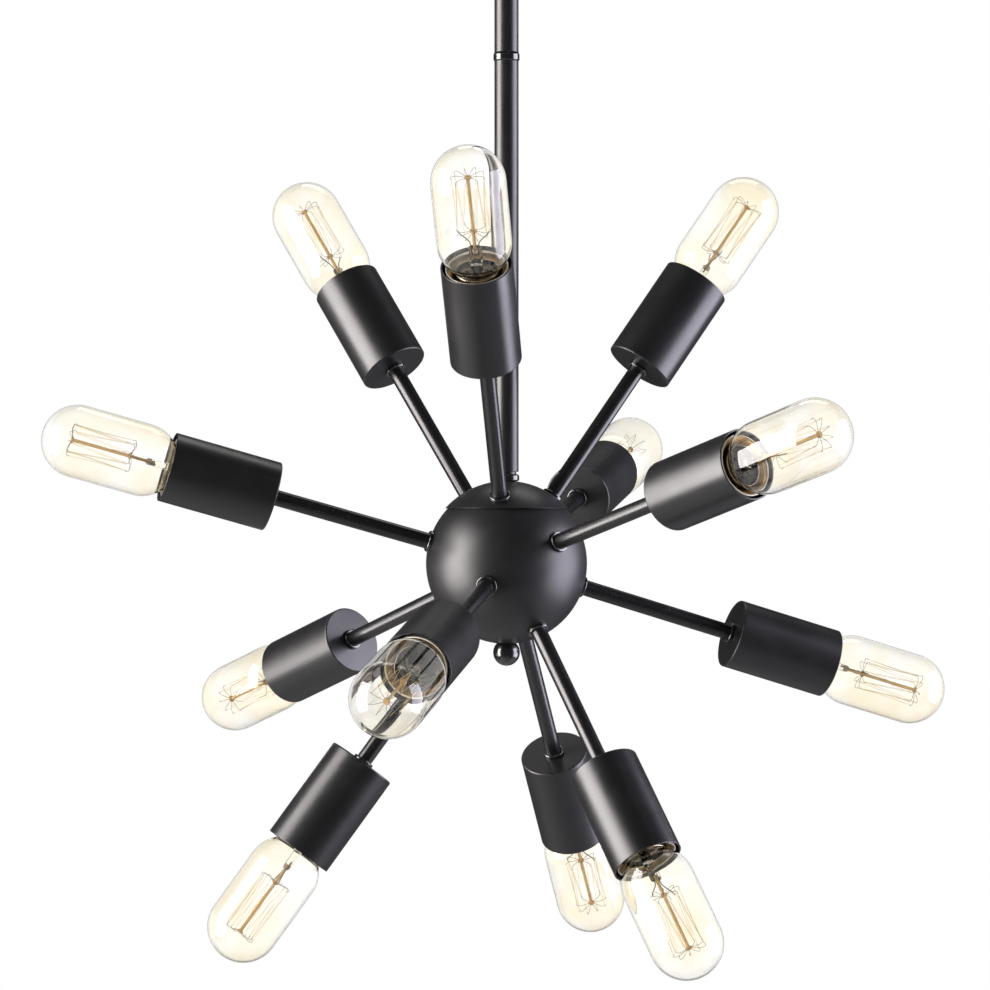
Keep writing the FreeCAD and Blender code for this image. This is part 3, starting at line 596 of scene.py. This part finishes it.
# a tube threaded all along, a bevelled ring on the lid, and a ball cut flat on top and bored
def makeRodPieces():
    rows = rounded([(rod["bore"], rod["foot"]), (rod["radius"], rod["foot"], 0.3),
                    (rod["radius"], rod["top"], 0.3), (rod["bore"], rod["top"])])
    heights = np.arange(rod["foot"] + 0.5, rod["top"] - 0.5, rod["pitch"] / 6)
    side = np.flatnonzero((rows[:, 0] > rod["radius"] - 0.01)
                          & (rows[:, 1] < rod["foot"] + 0.5))[-1]
    rows = np.vstack([rows[:side + 1], straight(rod["radius"], heights), rows[side + 3:]])
    wave = threadWave(rod["pitch"], rod["depth"], rod["foot"], rod["top"], rod["bore"] + 0.5)
    thread = turned(rows, facets["fine"], True, wave)
    build("centreRodThreaded", atBall(thread), "zincSteel", ["centre_rod"])
    top = collar["foot"] + collar["height"]
    inset = collar["radius"] - collar["chamfer"]
    rows = rounded([(collar["bore"], collar["foot"]), (inset, collar["foot"], 0.2),
                    (collar["radius"], collar["foot"] + collar["chamfer"], 0.3),
                    (collar["radius"], top - collar["chamfer"], 0.3), (inset, top, 0.25),
                    (collar["bore"], top)])
    build("lidCollar", atBall(turned(rows, facets["rod"])), "glossBlack", ["stem_collar"])
    centre = finial["top"] - finial["drop"]
    rise = math.degrees(math.asin(finial["drop"] / finial["radius"]))
    rows = plain(bow(centre, finial["radius"], -90, rise - 2, 40))
    topRadius = math.sqrt(finial["radius"] ** 2 - finial["drop"] ** 2)
    rows += [(topRadius - 0.15, finial["top"], 1.0), (finial["bore"], finial["top"], 0.0),
             (finial["bore"], finial["boreTop"], 0.0), (0.0, finial["boreTop"], 0.0)]
    rows[0] = (0.0, centre - finial["radius"], 0.0)
    build("ballFinial", atBall(turned(rows, facets["rod"], False)), "glossBlack", ["finial"])


makeRodPieces()


# the side's radius is half the flats over the cosine of the angle from the nearest flat, cut back
# at top and foot by a cone, which leaves the rounded corners of a turned nut
def hexNut(flats, height, foot):
    bore, bevel, top = nuts["bore"], nuts["bevel"], foot + height
    apothem = flats / 2
    corner = apothem / math.cos(math.radians(30))
    levels = ((0.02, 1.0), (0.35, 1.0), (0.8, 0.0), (1.2, 0.0))
    rows = plain([(bore + bevel, foot), (bore, foot + bevel), (bore, top - bevel),
                  (bore + bevel, top), (apothem * 0.94, top)])
    rows += [(corner, top - gap, mark) for gap, mark in levels]
    rows += [(corner, foot + gap, mark) for gap, mark in levels[::-1]]
    rows += [(apothem * 0.94, foot, 0.0)]

    def reshape(turn, radius, level):
        fromFlat = (turn + np.pi / 6) % (np.pi / 3) - np.pi / 6
        side = apothem / np.cos(fromFlat)
        fromEnd = np.minimum(level - foot, top - level)
        cone = apothem * 0.97 + fromEnd * 1.8
        return np.where(radius > corner - 0.01, np.minimum(side, cone), radius)
    return turned(rows, nuts["steps"], True, reshape)


nuts = {"arm": (12.0, 2.6), "rod": (14.0, 4.0), "hanger": (15.0, 4.0), "bore": 5.05,
        "bevel": 0.4, "hangerFoot": -23.8, "steps": 72}
armRing = {"bore": 5.05, "radius": 6.7, "height": 2.3, "round": 1.5, "ballSeat": 50.242,
           "lidSeat": 51.498}
cup = {"back": 154.0, "mouth": 221.8, "radius": 21.8, "wall": 1.1, "hole": 5.1, "round": 0.9,
       "steps": 128}


# height at which a nut's six corners touch the inside of a ball
def nutSeat(ballRadius, flats):
    return math.sqrt(ballRadius ** 2 - flats ** 2 / 3)


def makeNuts():
    flats, height = nuts["arm"]
    inner, underLid = ball["radius"] - ball["wall"], ball["radius"] + ball["lidGap"]
    inBall = onArms(hexNut(flats, height, nutSeat(inner, flats) - height), ballLights)
    inLid = onArms(hexNut(flats, height, nutSeat(underLid, flats) - height), lidLights)
    inCups = onArms(hexNut(flats, height, cup["back"] + cup["wall"]))
    build("armNutsHex", together([inBall, inLid, inCups]), "zincSteel", ["arm_nuts"])
    flats, height = nuts["rod"]
    rodNut = hexNut(flats, height, nutSeat(underLid, flats) - height)
    build("rodNutHex", atBall(rodNut), "zincSteel", ["rod_nut"])
    hangerNut = hexNut(*nuts["hanger"], nuts["hangerFoot"])
    build("hangerNutHex", hangerNut, "zincSteel", ["hanger_nut"], "ceiling_mount")


makeNuts()

# arms, rings and cups
arm = {"radius": 5.0, "bore": 3.8, "foot": 41.5, "top": 177.9, "ballFace": 50.6,
       "pitch": 25.4 / 27, "depth": 0.5, "steps": 40}


# plain tube where it shows, with a thread at both hidden ends
def makeArms():
    first = np.arange(arm["foot"] + 0.3, arm["ballFace"] - 1.5, arm["pitch"] / 5)
    bare = [arm["ballFace"] - 0.6, arm["ballFace"], cup["back"] - 0.5, cup["back"] + cup["wall"]]
    second = np.arange(cup["back"] + 2, arm["top"] - 0.3, arm["pitch"] / 5)
    end, skin = arm["radius"] - 0.4, arm["radius"] - 0.1
    rows = plain([(arm["bore"], arm["foot"]), (end, arm["foot"])])
    rows += straight(arm["radius"], np.concatenate([first, bare, second]))
    rows += plain([(end, arm["top"]), (arm["bore"], arm["top"])])
    lower = threadWave(arm["pitch"], arm["depth"], arm["foot"], arm["ballFace"] - 1, skin)
    upper = threadWave(arm["pitch"], arm["depth"], cup["back"] + 1.5, arm["top"], skin)
    middle = (arm["ballFace"] + cup["back"]) / 2

    def reshape(turn, radius, height):
        return np.where(height < middle, lower(turn, radius, height), upper(turn, radius, height))
    tube = turned(rows, arm["steps"], True, reshape)
    build("armTubes", onArms(tube), "armBlack", ["arms"])


# domed ring: flat foot, straight skirt and a quarter-round shoulder
def ringOutline(foot, flip=False):
    top = armRing["height"]
    rows = rounded([(armRing["bore"], 0), (armRing["radius"], 0, 0.15),
                    (armRing["radius"], top, armRing["round"]), (armRing["bore"], top, 0.1)],
                   arcSteps=6)
    if flip:
        rows = rows * np.array([1, -1, 1])
    return rows + np.array([0, foot, 0])


def makeRings():
    rings = [onArms(turned(ringOutline(armRing["ballSeat"]), facets["ring"]), ballLights),
             onArms(turned(ringOutline(armRing["lidSeat"]), facets["ring"]), lidLights),
             onArms(turned(ringOutline(cup["back"], True), facets["ring"]))]
    build("armRings", together(rings), "glossBlack", ["arm_collars"])


# plain tube with a flat back and an open mouth, its corners rounded
def makeCups():
    inner, floor = cup["radius"] - cup["wall"], cup["back"] + cup["wall"]
    rows = rounded([(cup["hole"], cup["back"]), (cup["radius"], cup["back"], cup["round"]),
                    (cup["radius"], cup["mouth"], 0.3), (inner, cup["mouth"], 0.3),
                    (inner, floor, 0.6), (cup["hole"], floor)])
    build("lampCups", onArms(turned(rows, cup["steps"])), "satinBlack", ["cups"])


makeArms()
makeRings()
makeCups()
print("arms, rings and cups turned")

# lampholders
holder = {"foot": 168.0, "neck": 8.0, "neckTop": 174.0, "radius": 17.0, "rim": 18.9,
          "rimFoot": 216.8, "mouth": 220.3, "lip": 0.65, "dish": 5.5, "cavity": 14.2,
          "floor": 186.0, "bore": 3.2, "tap": 5.05, "tapTop": 178.0}
shell = {"radius": 14.15, "wall": 0.4, "foot": 189.0, "flareTop": 1.2, "pitch": 25.4 / 7,
         "depth": 0.75, "steps": 60}


# porcelain: a neck tapped for the arm, a wider body, and a rim round a dish and a deep cavity
def makeHolders():
    dishFloor = holder["mouth"] - holder["dish"]
    lipInside = holder["rim"] - holder["lip"]
    rows = rounded([
        (holder["tap"], holder["foot"]), (holder["neck"], holder["foot"], 0.8),
        (holder["neck"], holder["neckTop"], 0.8), (holder["radius"], holder["neckTop"], 1.5),
        (holder["radius"], holder["rimFoot"], 0.5), (holder["rim"], holder["rimFoot"], 0.4),
        (holder["rim"], holder["mouth"], 0.25), (lipInside, holder["mouth"], 0.25),
        (lipInside, holder["mouth"] - 1.0, 0.3), (holder["cavity"], dishFloor, 0.4),
        (holder["cavity"], holder["floor"], 0.8), (holder["bore"], holder["floor"], 0.3),
        (holder["bore"], holder["tapTop"]), (holder["tap"], holder["tapTop"])])
    build("lampholders", onArms(turned(rows, facets["rod"])), "holderGlaze", ["sockets"])


# brass shell: a thin tube rolled into a screw thread, flared out to the lampholder's rim
def makeShells():
    dishFloor = holder["mouth"] - holder["dish"]
    flareRadius = holder["rim"] - holder["lip"] - 0.1
    flareTop = holder["mouth"] - shell["flareTop"]
    radius, wall = shell["radius"], shell["wall"]
    heights = np.arange(shell["foot"], dishFloor - 0.6, shell["pitch"] / 9)
    outer = straight(radius, heights)
    outer += [(radius + 0.1, dishFloor, 0.0), (flareRadius, flareTop - 0.1, 0.0),
              (flareRadius, flareTop, 1.0)]
    inner = [(flareRadius - 0.3, flareTop + 0.15, 1.0),
             (radius + 0.1 - wall, dishFloor + wall, 0.0)]
    inner += straight(radius - wall, heights[::-1])
    wave = threadWave(shell["pitch"], shell["depth"], shell["foot"], dishFloor)
    surface = turned(outer + inner, shell["steps"], True, wave)
    build("holderShells", onArms(surface), "shellBrass", ["socket_shells"])


makeHolders()
makeShells()
print("lampholders made")

# lamps
lamp = {"foot": 191.5, "contact": 4.75, "contactTop": 193.1, "insulator": 11.8,
        "capFoot": 196.5, "capTop": 218.5, "capRadius": 13.1, "capWall": 0.4,
        "capThreadTop": 213.5, "capDepth": 0.7, "pitch": 25.4 / 7,
        "neck": 12.3, "shoulder": 219.2, "radius": 22.5, "wall": 0.8, "dome": 279.0,
        "neckFoot": 205.5, "sideRings": (252.0, 265.0), "steps": 112, "capSteps": 72,
        "buttonSteps": 32}
mount = {"pinch": 3.4, "flareTop": 222.5, "pinchTop": 235.5, "post": 1.05, "postFoot": 232.0,
         "hub": 2.1, "lowerHub": 245.8, "upperHub": 282.7, "hubHalf": 0.8, "postSteps": 24,
         "cage": 10.0, "hooks": 9, "angleSpread": 0.03, "leanSpread": 0.35, "wire": 0.14,
         "lead": 0.32, "filament": 0.12,
         "leadRoute": ((1.6, 229.0), (2.2, 234.0), (3.0, 238.0), (5.6, 241.2), (8.2, 243.6),
                       (9.6, 246.2))}


# straight neck, round shoulder, straight side and half-round dome, with the inner face one wall
# inside along the outline's own normal
def envelopeOutline():
    centre = lamp["shoulder"] + math.sqrt(lamp["radius"] ** 2 - lamp["neck"] ** 2)
    low = -math.degrees(math.acos(lamp["neck"] / lamp["radius"]))
    corners = [(lamp["neck"], lamp["neckFoot"]), (lamp["neck"], lamp["shoulder"] - 1.2),
               (lamp["neck"] + 0.12, lamp["shoulder"] - 0.3)]
    corners += bow(centre, lamp["radius"], low + 2.2, 0, 22)
    corners += [(lamp["radius"], level) for level in lamp["sideRings"]]
    corners += bow(lamp["dome"], lamp["radius"], 0, 90, 30)
    outer = np.array(corners)
    step = np.gradient(outer, axis=0)
    step[-1] = (-1, 0)
    inward = np.column_stack([-step[:, 1], step[:, 0]])
    inward /= np.linalg.norm(inward, axis=1, keepdims=True)
    inner = outer + inward * lamp["wall"]
    outer[-1, 0] = inner[-1, 0] = 0
    rows = np.vstack([outer, inner[::-1]])
    return np.column_stack([rows, np.zeros(len(rows))])


# glass foot of the lamp's inner mount: a trumpet that rises from the neck, then a flat pinch whose
# section is squeezed to half across and swells a little the other way
def stemSurface():
    pinch, top = mount["pinch"], mount["pinchTop"]
    neckInside = lamp["neck"] - lamp["wall"] - 0.1
    share = np.linspace(0, 1, 16)
    flare = pinch + (neckInside - pinch) * (1 - share) ** 3
    level = lamp["neckFoot"] + share * (mount["flareTop"] - lamp["neckFoot"])
    outer = list(zip(flare, level)) + [
        (pinch, top - 9.5), (pinch, top - 5.5), (pinch, top - 2.0), (pinch * 0.93, top - 0.7),
        (pinch * 0.6, top - 0.1), (0, top), (0, mount["flareTop"] + 1.0)]
    inner = [(max(radius - 0.8, 0), height) for radius, height in zip(flare, level)]

    def reshape(turn, radius, height):
        squeeze = smoothStep(mount["flareTop"] - 4, mount["flareTop"] + 5, height)
        across = 1 - squeeze * (0.46 * np.cos(turn) ** 2 - 0.16 * np.sin(turn) ** 2)
        return radius * across
    return turned(plain(outer + inner[::-1]), facets["fine"], True, reshape)


# thin glass rod with a hub low down and another at its top
def postSurface():
    lower, upper, half = mount["lowerHub"], mount["upperHub"], mount["hubHalf"]
    post, hub, foot = mount["post"], mount["hub"], mount["postFoot"]
    rows = rounded([
        (0, foot), (post, foot, 0.3), (post, lower - half, 0.4), (hub, lower - half, 0.5),
        (hub, lower + half, 0.5), (post, lower + half, 0.4), (post, upper - half, 0.4),
        (hub, upper - half, 0.5), (hub, upper + half, 0.7), (0, upper + half)], False)
    return turned(rows, mount["postSteps"], False)


# hooks of the cage: a wire from the hub's rim out to the cage's radius, ending in a small crook;
# some of them lean a little, as hand-set wires do, and two thicker leads come up from the pinch
def hookWires():
    wires = []
    reach = mount["cage"]
    for end, hub in ((1, mount["upperHub"]), (-1, mount["lowerHub"])):
        for index in range(mount["hooks"]):
            turn = dice.normal(0, mount["angleSpread"])
            angle = (2 * index + (end < 0)) * np.pi / mount["hooks"] + turn
            lean = dice.normal(0, mount["leanSpread"])
            out = np.array([math.cos(angle), math.sin(angle), 0])
            beside = np.array([-out[1], out[0], 0])
            spots = [(1.6, 0.0), (4.0, 0.9 + lean * 0.3), (7.0, 1.5 + lean),
                     (reach - 0.5, 1.3 + lean), (reach + 0.35, 0.5 + lean),
                     (reach, -0.5 + lean * 0.5), (reach - 0.6, -0.2 + lean * 0.5)]
            path = [out * radius + np.array([0, 0, hub + end * rise]) for radius, rise in spots]
            wires.append(wire(smoothPath(path, 4), mount["wire"], beside, 5))
    for side in (-1, 1):
        path = [(0.4 * side, side * radius, level) for radius, level in mount["leadRoute"]]
        wires.append(wire(smoothPath(path, 5), mount["lead"], np.array([1.0, 0, 0]), 7))
    return together(wires)


# filament: it climbs and falls between the hooks while it goes round the cage, so its height is a
# rounded zigzag of the turn
def filamentWire():
    strands = 2 * mount["hooks"] - 1
    share = np.linspace(0, strands, strands * 12 + 1)
    zigzag = 2 * np.abs(share / 2 - np.floor(share / 2 + 0.5))
    low, high = mount["lowerHub"] + 1.0, mount["upperHub"] - 0.2
    level = high - (high - low) * (1 - zigzag)
    angle = -(share + 1) * np.pi / mount["hooks"]
    bowed = mount["cage"] - 0.5 * np.sin(np.pi * (share % 1))
    path = np.column_stack([bowed * np.cos(angle), bowed * np.sin(angle), level])
    radial = np.column_stack([np.cos(angle), np.sin(angle), np.zeros(len(angle))])
    return wire(path, mount["filament"], radial, 5)


# thin brass cup with the thread rolled into its wall, turned in at its foot round the insulator
def capSurface():
    radius, wall = lamp["capRadius"], lamp["capWall"]
    foot, top = lamp["capFoot"], lamp["capTop"]
    heights = np.arange(foot + 1.2, top - 1.0, lamp["pitch"] / 9)
    outer = [(radius - 2.6, foot, 0.0), (radius - 0.9, foot, 1.0), (radius - 0.3, foot + 0.4, 1.0),
             (radius, foot + 1.0, 0.0)]
    outer += straight(radius, heights)
    outer += [(radius, top - 0.5, 0.0), (radius - 0.1, top, 1.0)]
    inner = [(radius - wall, top, 1.0)] + straight(radius - wall, heights[::-1])
    inner += [(radius - 0.9 - wall, foot + 0.9, 0.0), (radius - 2.6, foot + wall, 0.0)]
    wave = threadWave(lamp["pitch"], lamp["capDepth"], foot + 1.0, lamp["capThreadTop"])
    return turned(outer + inner, lamp["capSteps"], True, wave)


# shallow cone from the contact's edge out to the cap's foot
def insulatorSurface():
    edge, base, top = lamp["contact"], lamp["contactTop"], lamp["capFoot"]
    rows = rounded([(0, base - 0.2), (edge, base - 0.2), (edge + 0.6, base + 0.1, 0.3),
                    (lamp["insulator"], top - 0.25, 0.3), (lamp["insulator"] - 0.4, top - 0.05),
                    (0, top - 0.05)], False)
    return turned(rows, facets["fine"], False)


# low round button with a soft edge
def buttonSurface():
    rows = rounded([(0, lamp["foot"]), (lamp["contact"] * 0.8, lamp["foot"] + 0.1, 0.8),
                    (lamp["contact"], lamp["contactTop"] - 0.2, 0.2),
                    (0, lamp["contactTop"] - 0.2)], False)
    return turned(rows, lamp["buttonSteps"], False)


# insulator and button slide out with the lamp's foot, and all the rest also turns
def makeLamps():
    envelope = turned(envelopeOutline(), lamp["steps"])
    stem, post, cap = stemSurface(), postSurface(), capSurface()
    insulator, button, filament = insulatorSurface(), buttonSurface(), filamentWire()
    for light in lights:
        body, foot = f"bulb_{light}", f"bulb_{light}_foot"
        for word, surface, finish, node, carrier in (
                ("Envelope", envelope, "lampGlass", "glass", body),
                ("Stem", stem, "stemGlass", None, body),
                ("Post", post, "amberGlass", None, body),
                ("Wires", hookWires(), "wireNickel", None, body),
                ("Filament", filament, "filamentGold", None, body),
                ("Cap", cap, "capBrass", "cap", body),
                ("Insulator", insulator, "insulatorGlass", "contact", foot),
                ("Button", button, "solder", None, foot)):
            nodes = [f"bulb_{node}_{light}"] if node else []
            build(f"lamp{word}_{light}", onArm(surface, light), finish, nodes, carrier)


makeLamps()
print("lamps made")

# rods, coupler, swivel and canopy
stem = {"radius": 7.6, "bore": 6.1, "length": 257.8, "upperFoot": -311.8, "lowerFoot": -575.1,
        "neck": 6.25, "neckHeight": 1.6, "plug": 10.0, "tap": 5.05}
coupler = {"foot": -317.3, "height": 5.5, "radius": 8.2, "bevel": 0.7, "spigot": 6.05,
           "spigotBore": 4.55, "reach": 9.0}
pin = {"radius": 2.0, "head": 3.6, "headHeight": 1.4, "half": 7.6}
eased = {"swivel": 0.35, "crossbar": 0.2}
canopy = {"radius": 62.5, "depth": 25.0, "wall": 1.2, "round": 6.0, "lip": 3.0, "hole": 5.1,
          "steps": 160}
screw = {"spacing": 50.8, "radius": 2.0, "head": 4.0, "end": -30.0, "pitch": 0.7, "depth": 0.35,
         "recess": 1.1, "recessReach": 2.5, "slotHalf": 0.55}
capNut = {"foot": 4.2, "footHeight": 2.0, "ball": 5.0, "bore": 2.05, "depth": 5.1}


# two plain tubes, the lower one with a neck and a tapped plug at its foot, and a bevelled ring
# with a spigot each way that joins them
def makeStem():
    top = stem["upperFoot"] + stem["length"]
    rows = rounded([(stem["bore"], stem["upperFoot"]), (stem["radius"], stem["upperFoot"], 0.25),
                    (stem["radius"], top, 0.25), (stem["bore"], top)])
    build("upperRod", turned(rows, facets["rod"]), "satinBlack", ["stem_upper"])
    foot, top = stem["lowerFoot"], stem["lowerFoot"] + stem["length"]
    neckFoot, plugTop = foot - stem["neckHeight"], foot + stem["plug"]
    rows = rounded([(stem["tap"], neckFoot), (stem["neck"], neckFoot, 0.2),
                    (stem["neck"], foot, 0.15), (stem["radius"], foot, 0.4),
                    (stem["radius"], top, 0.25), (stem["bore"], top),
                    (stem["bore"], plugTop, 0.3), (stem["tap"], plugTop)])
    build("lowerRod", turned(rows, facets["rod"]), "satinBlack", ["stem_lower"])
    foot, top = coupler["foot"], coupler["foot"] + coupler["height"]
    bevel = coupler["bevel"]
    rows = rounded([
        (coupler["spigotBore"], foot - coupler["reach"]),
        (coupler["spigot"], foot - coupler["reach"], 0.5), (coupler["spigot"], foot),
        (coupler["radius"] - bevel, foot, 0.15), (coupler["radius"], foot + bevel, 0.3),
        (coupler["radius"], top - 2 * bevel, 0.4), (coupler["radius"] - bevel, top, 0.2),
        (coupler["spigot"], top), (coupler["spigot"], top + coupler["reach"], 0.5),
        (coupler["spigotBore"], top + coupler["reach"])])
    build("rodCoupler", turned(rows, facets["rod"]), "glossBlack", ["stem_coupler"])


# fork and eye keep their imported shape, and the rivet between them lies along Y
def makeSwivel():
    easeNode("swivelClevisEased", "swivel_clevis", "satinBlack", eased["swivel"], "ceiling_mount")
    easeNode("swivelEyeEased", "swivel_eye", "satinBlack", eased["swivel"])
    end = pin["half"] + pin["headHeight"]
    rows = rounded([(0, -end), (pin["head"] * 0.85, -end, 0.5), (pin["head"], -pin["half"], 0.2),
                    (pin["radius"], -pin["half"]), (pin["radius"], pin["half"]),
                    (pin["head"], pin["half"], 0.2), (pin["head"] * 0.85, end, 0.5), (0, end)],
                   False)
    lying = [[1, 0, 0], [0, 0, -1], [0, 1, 0]]
    rivet = moved(turned(rows, facets["fine"], False), lying, (0, 0, pivotHeight))
    build("swivelRivet", rivet, "glossBlack", ["swivel_pin"], "ceiling_mount")


# shallow drawn dish with a turned-in rim at the ceiling and a hole for the clevis
def makeCanopy():
    radius, depth, wall, bend = (canopy[word] for word in ("radius", "depth", "wall", "round"))
    rows = rounded([(canopy["hole"], -depth, 0.2), (radius, -depth, bend),
                    (radius, 0, 0.3), (radius - canopy["lip"], 0, 0.3),
                    (radius - canopy["lip"], -wall, 0.2), (radius - wall, -wall, 0.2),
                    (radius - wall, wall - depth, bend - wall),
                    (canopy["hole"], wall - depth, 0.2)], arcSteps=8)
    build("canopyDish", turned(rows, canopy["steps"]), "satinBlack", ["canopy"], "ceiling_mount")
    easeNode("crossbarEased", "crossbar", "zincSteel", eased["crossbar"], "ceiling_mount")


# countersunk screw: cone head with a cross recess pressed in, thread down the shank
def screwSurface():
    fall, radius, deep = screw["head"] - screw["radius"], screw["radius"], screw["recess"]
    heights = np.arange(-fall - 1.0, screw["end"] + 0.6, -screw["pitch"] / 5)
    rows = plain([(0, -deep), (0.5, -deep), (1.0, -0.9), (1.5, -0.6), (2.0, -0.3), (2.4, -0.02),
                  (3.2, 0.0)])
    rows += [(screw["head"] - 0.15, 0.0, 1.0), (screw["head"], -0.12, 1.0), (radius, -fall, 0.0)]
    rows += straight(radius, heights)
    rows += plain([(radius - 0.5, screw["end"]), (0, screw["end"])])
    wave = threadWave(screw["pitch"], screw["depth"], screw["end"], -fall - 1.0, 1.9)
    surface = turned(rows, facets["fine"], False, wave)
    points = surface["points"]
    spread = np.hypot(points[:, 0], points[:, 1])
    aside = np.minimum(np.abs(points[:, 0]), np.abs(points[:, 1]))
    inRecess = (points[:, 2] > -deep - 0.1) & (spread < screw["recessReach"])
    points[inRecess & (aside > screw["slotHalf"]), 2] = 0
    return surface


# two screws, and two ball nuts: a ball on a short straight foot, bored from the foot
def makeScrews():
    shank = screwSurface()
    rise = math.sqrt(capNut["ball"] ** 2 - capNut["foot"] ** 2)
    foot = -canopy["depth"]
    centre = foot - capNut["footHeight"] - rise
    rows = plain(bow(centre, capNut["ball"], -90, math.degrees(math.asin(rise / capNut["ball"])),
                     24))
    rows[0] = (0.0, centre - capNut["ball"], 0.0)
    rows += [(capNut["foot"], foot - 0.2, 1.0), (capNut["foot"] - 0.2, foot, 1.0),
             (capNut["bore"], foot, 0.0), (capNut["bore"], foot - capNut["depth"], 0.0),
             (0.0, foot - capNut["depth"], 0.0)]
    nut = turned(rows, facets["ring"], False)
    for name, surface, finish, node in (
            ("canopyScrewPair", shank, "zincSteel", "canopy_screws"),
            ("canopyNutPair", nut, "glossBlack", "canopy_cap_nuts")):
        pair = together([moved(surface, base=(side * screw["spacing"] / 2, 0, 0))
                         for side in (-1, 1)])
        build(name, pair, finish, [node], "ceiling_mount")


makeStem()
makeSwivel()
makeCanopy()
makeScrews()
contacts = frame["nodes"]["socket_contacts"]
contacts.data.materials.clear()
contacts.data.materials.append(finishes["shellBrass"])
print("rods, swivel and canopy made")

# floor, light and camera
stage = {"floor": -2.0, "floorRadius": 4.6, "floorFade": 2.2, "rings": 24,
         "pale": ((0.56, 0.56, 0.555), (0.62, 0.62, 0.61)), "bounce": (0.24, 0.24, 0.24)}
sky = {"horizon": 1.0, "pole": 0.28, "fadeStart": 0.3, "fadeEnd": 0.85, "mirrored": 0.07,
       "mirroredSharp": 0.4, "throughGlass": 1.15}
softboxes = {
    "violetRight": {"place": (1.85, 0.0, -0.6), "size": (1.6, 2.2), "power": 98,
                    "colour": (0.88, 0.85, 1.0)},
    "warmLeft": {"place": (-1.8, -0.45, -0.5), "size": (1.3, 2.2), "power": 150,
                 "colour": (1.0, 0.955, 0.94)},
    "topBack": {"place": (0.2, 0.9, 0.9), "size": (1.2, 0.6), "power": 6,
                "colour": (1.0, 0.98, 0.96)},
}
view = {"distance": 2.52, "rise": 0.011, "focal": 4017.0, "ballPixel": (506.5, 563.35),
        "frame": 990.0, "sensor": 36}
ballPlace = Vector(ballCentre.tolist()) * 0.001


# pale where the camera sees it, and darker in what it throws back on the undersides
def makeFloor():
    distances = np.linspace(0, stage["floorRadius"] * 1000, stage["rings"])
    rows = plain((distance, stage["floor"] * 1000) for distance in distances)
    surface = turned(rows, facets["ring"], False)
    mesh = bpy.data.meshes.new("studioFloor")
    mesh.from_pydata(inMetres(surface["points"]).tolist(), [], surface["faces"].tolist())
    material, tree, shader = newFinish("paleFloor", {"Roughness": 0.7})
    place = addNode(tree, "ShaderNodeTexCoord").outputs["Object"]
    away = addNode(tree, "ShaderNodeVectorMath", {0: place}, operation="LENGTH").outputs["Value"]
    pale = mixColour(tree, noiseNode(tree, 6.0, 4.0), *stage["pale"])
    seen = addNode(tree, "ShaderNodeLightPath").outputs["Is Camera Ray"]
    feed(tree, shader, {
        "Alpha": rangeNode(tree, away, stage["floorFade"], stage["floorRadius"], 1.0, 0.0),
        "Base Color": mixColour(tree, seen, stage["bounce"], pale)})
    mesh.materials.append(material)
    floor = bpy.data.objects.new("studioFloor", mesh)
    bpy.context.scene.collection.objects.link(floor)


# white all round for the camera and through glass; paint and metal mirror a darker studio
def makeSky():
    world = bpy.data.worlds.new("studioSky")
    world.use_nodes = True
    tree = world.node_tree
    ground = next(node for node in tree.nodes if node.type == "BACKGROUND")
    place = addNode(tree, "ShaderNodeTexCoord").outputs["Generated"]
    up = addNode(tree, "ShaderNodeSeparateXYZ", {0: place}).outputs["Z"]
    steep = mathNode(tree, "ABSOLUTE", up)
    glow = rangeNode(tree, steep, sky["fadeStart"], sky["fadeEnd"], sky["horizon"], sky["pole"])
    path = addNode(tree, "ShaderNodeLightPath").outputs
    through = path["Is Transmission Ray"]
    sharp = rangeNode(tree, path["Is Singular Ray"], 0.0, 1.0, sky["mirrored"],
                      sky["mirroredSharp"])
    reflected = mathNode(tree, "MULTIPLY", path["Is Glossy Ray"],
                         rangeNode(tree, through, 0.0, 1.0, 1.0, 0.0))
    mirror = rangeNode(tree, reflected, 0.0, 1.0, 1.0, sharp)
    glass = rangeNode(tree, through, 0.0, 1.0, 1.0, sky["throughGlass"])
    strength = mathNode(tree, "MULTIPLY", mathNode(tree, "MULTIPLY", glow, mirror), glass)
    feed(tree, ground, {"Color": (1, 1, 1, 1), "Strength": strength})
    bpy.context.scene.world = world


def makeSoftboxes():
    for name, box in softboxes.items():
        data = bpy.data.lights.new(name, "AREA")
        data.shape = "RECTANGLE"
        data.size, data.size_y = box["size"]
        data.energy = box["power"]
        data.color = box["colour"]
        lampBox = bpy.data.objects.new(name, data)
        lampBox.location = box["place"]
        lampBox.visible_camera = False
        lampBox.visible_transmission = False  # only the lamps' outer face mirrors a softbox
        towards = ballPlace - lampBox.location
        lampBox.rotation_euler = towards.to_track_quat("-Z", "Y").to_euler()
        bpy.context.scene.collection.objects.link(lampBox)


# the camera stands almost level with the ball and is turned so the ball's centre falls on its
# place in the picture
def makeCamera():
    rise = view["rise"]
    away = Vector((0, -math.cos(rise), math.sin(rise))) * view["distance"]
    data = bpy.data.cameras.new("pictureCamera")
    data.sensor_width = view["sensor"]
    data.lens = view["focal"] / view["frame"] * view["sensor"]
    camera = bpy.data.objects.new("pictureCamera", data)
    camera.location = ballPlace + away
    half = view["frame"] / 2
    seen = Vector((view["ballPixel"][0] - half, half - view["ballPixel"][1], -view["focal"]))
    facing = (-away).to_track_quat("-Z", "Y")
    nudge = seen.rotation_difference(Vector((0, 0, -1)))
    camera.rotation_euler = (facing @ nudge).to_euler()
    bpy.context.scene.collection.objects.link(camera)
    bpy.context.scene.camera = camera


makeFloor()
makeSky()
makeSoftboxes()
makeCamera()
bpy.context.scene.view_settings.view_transform = "Standard"
print("stage, light and camera set")
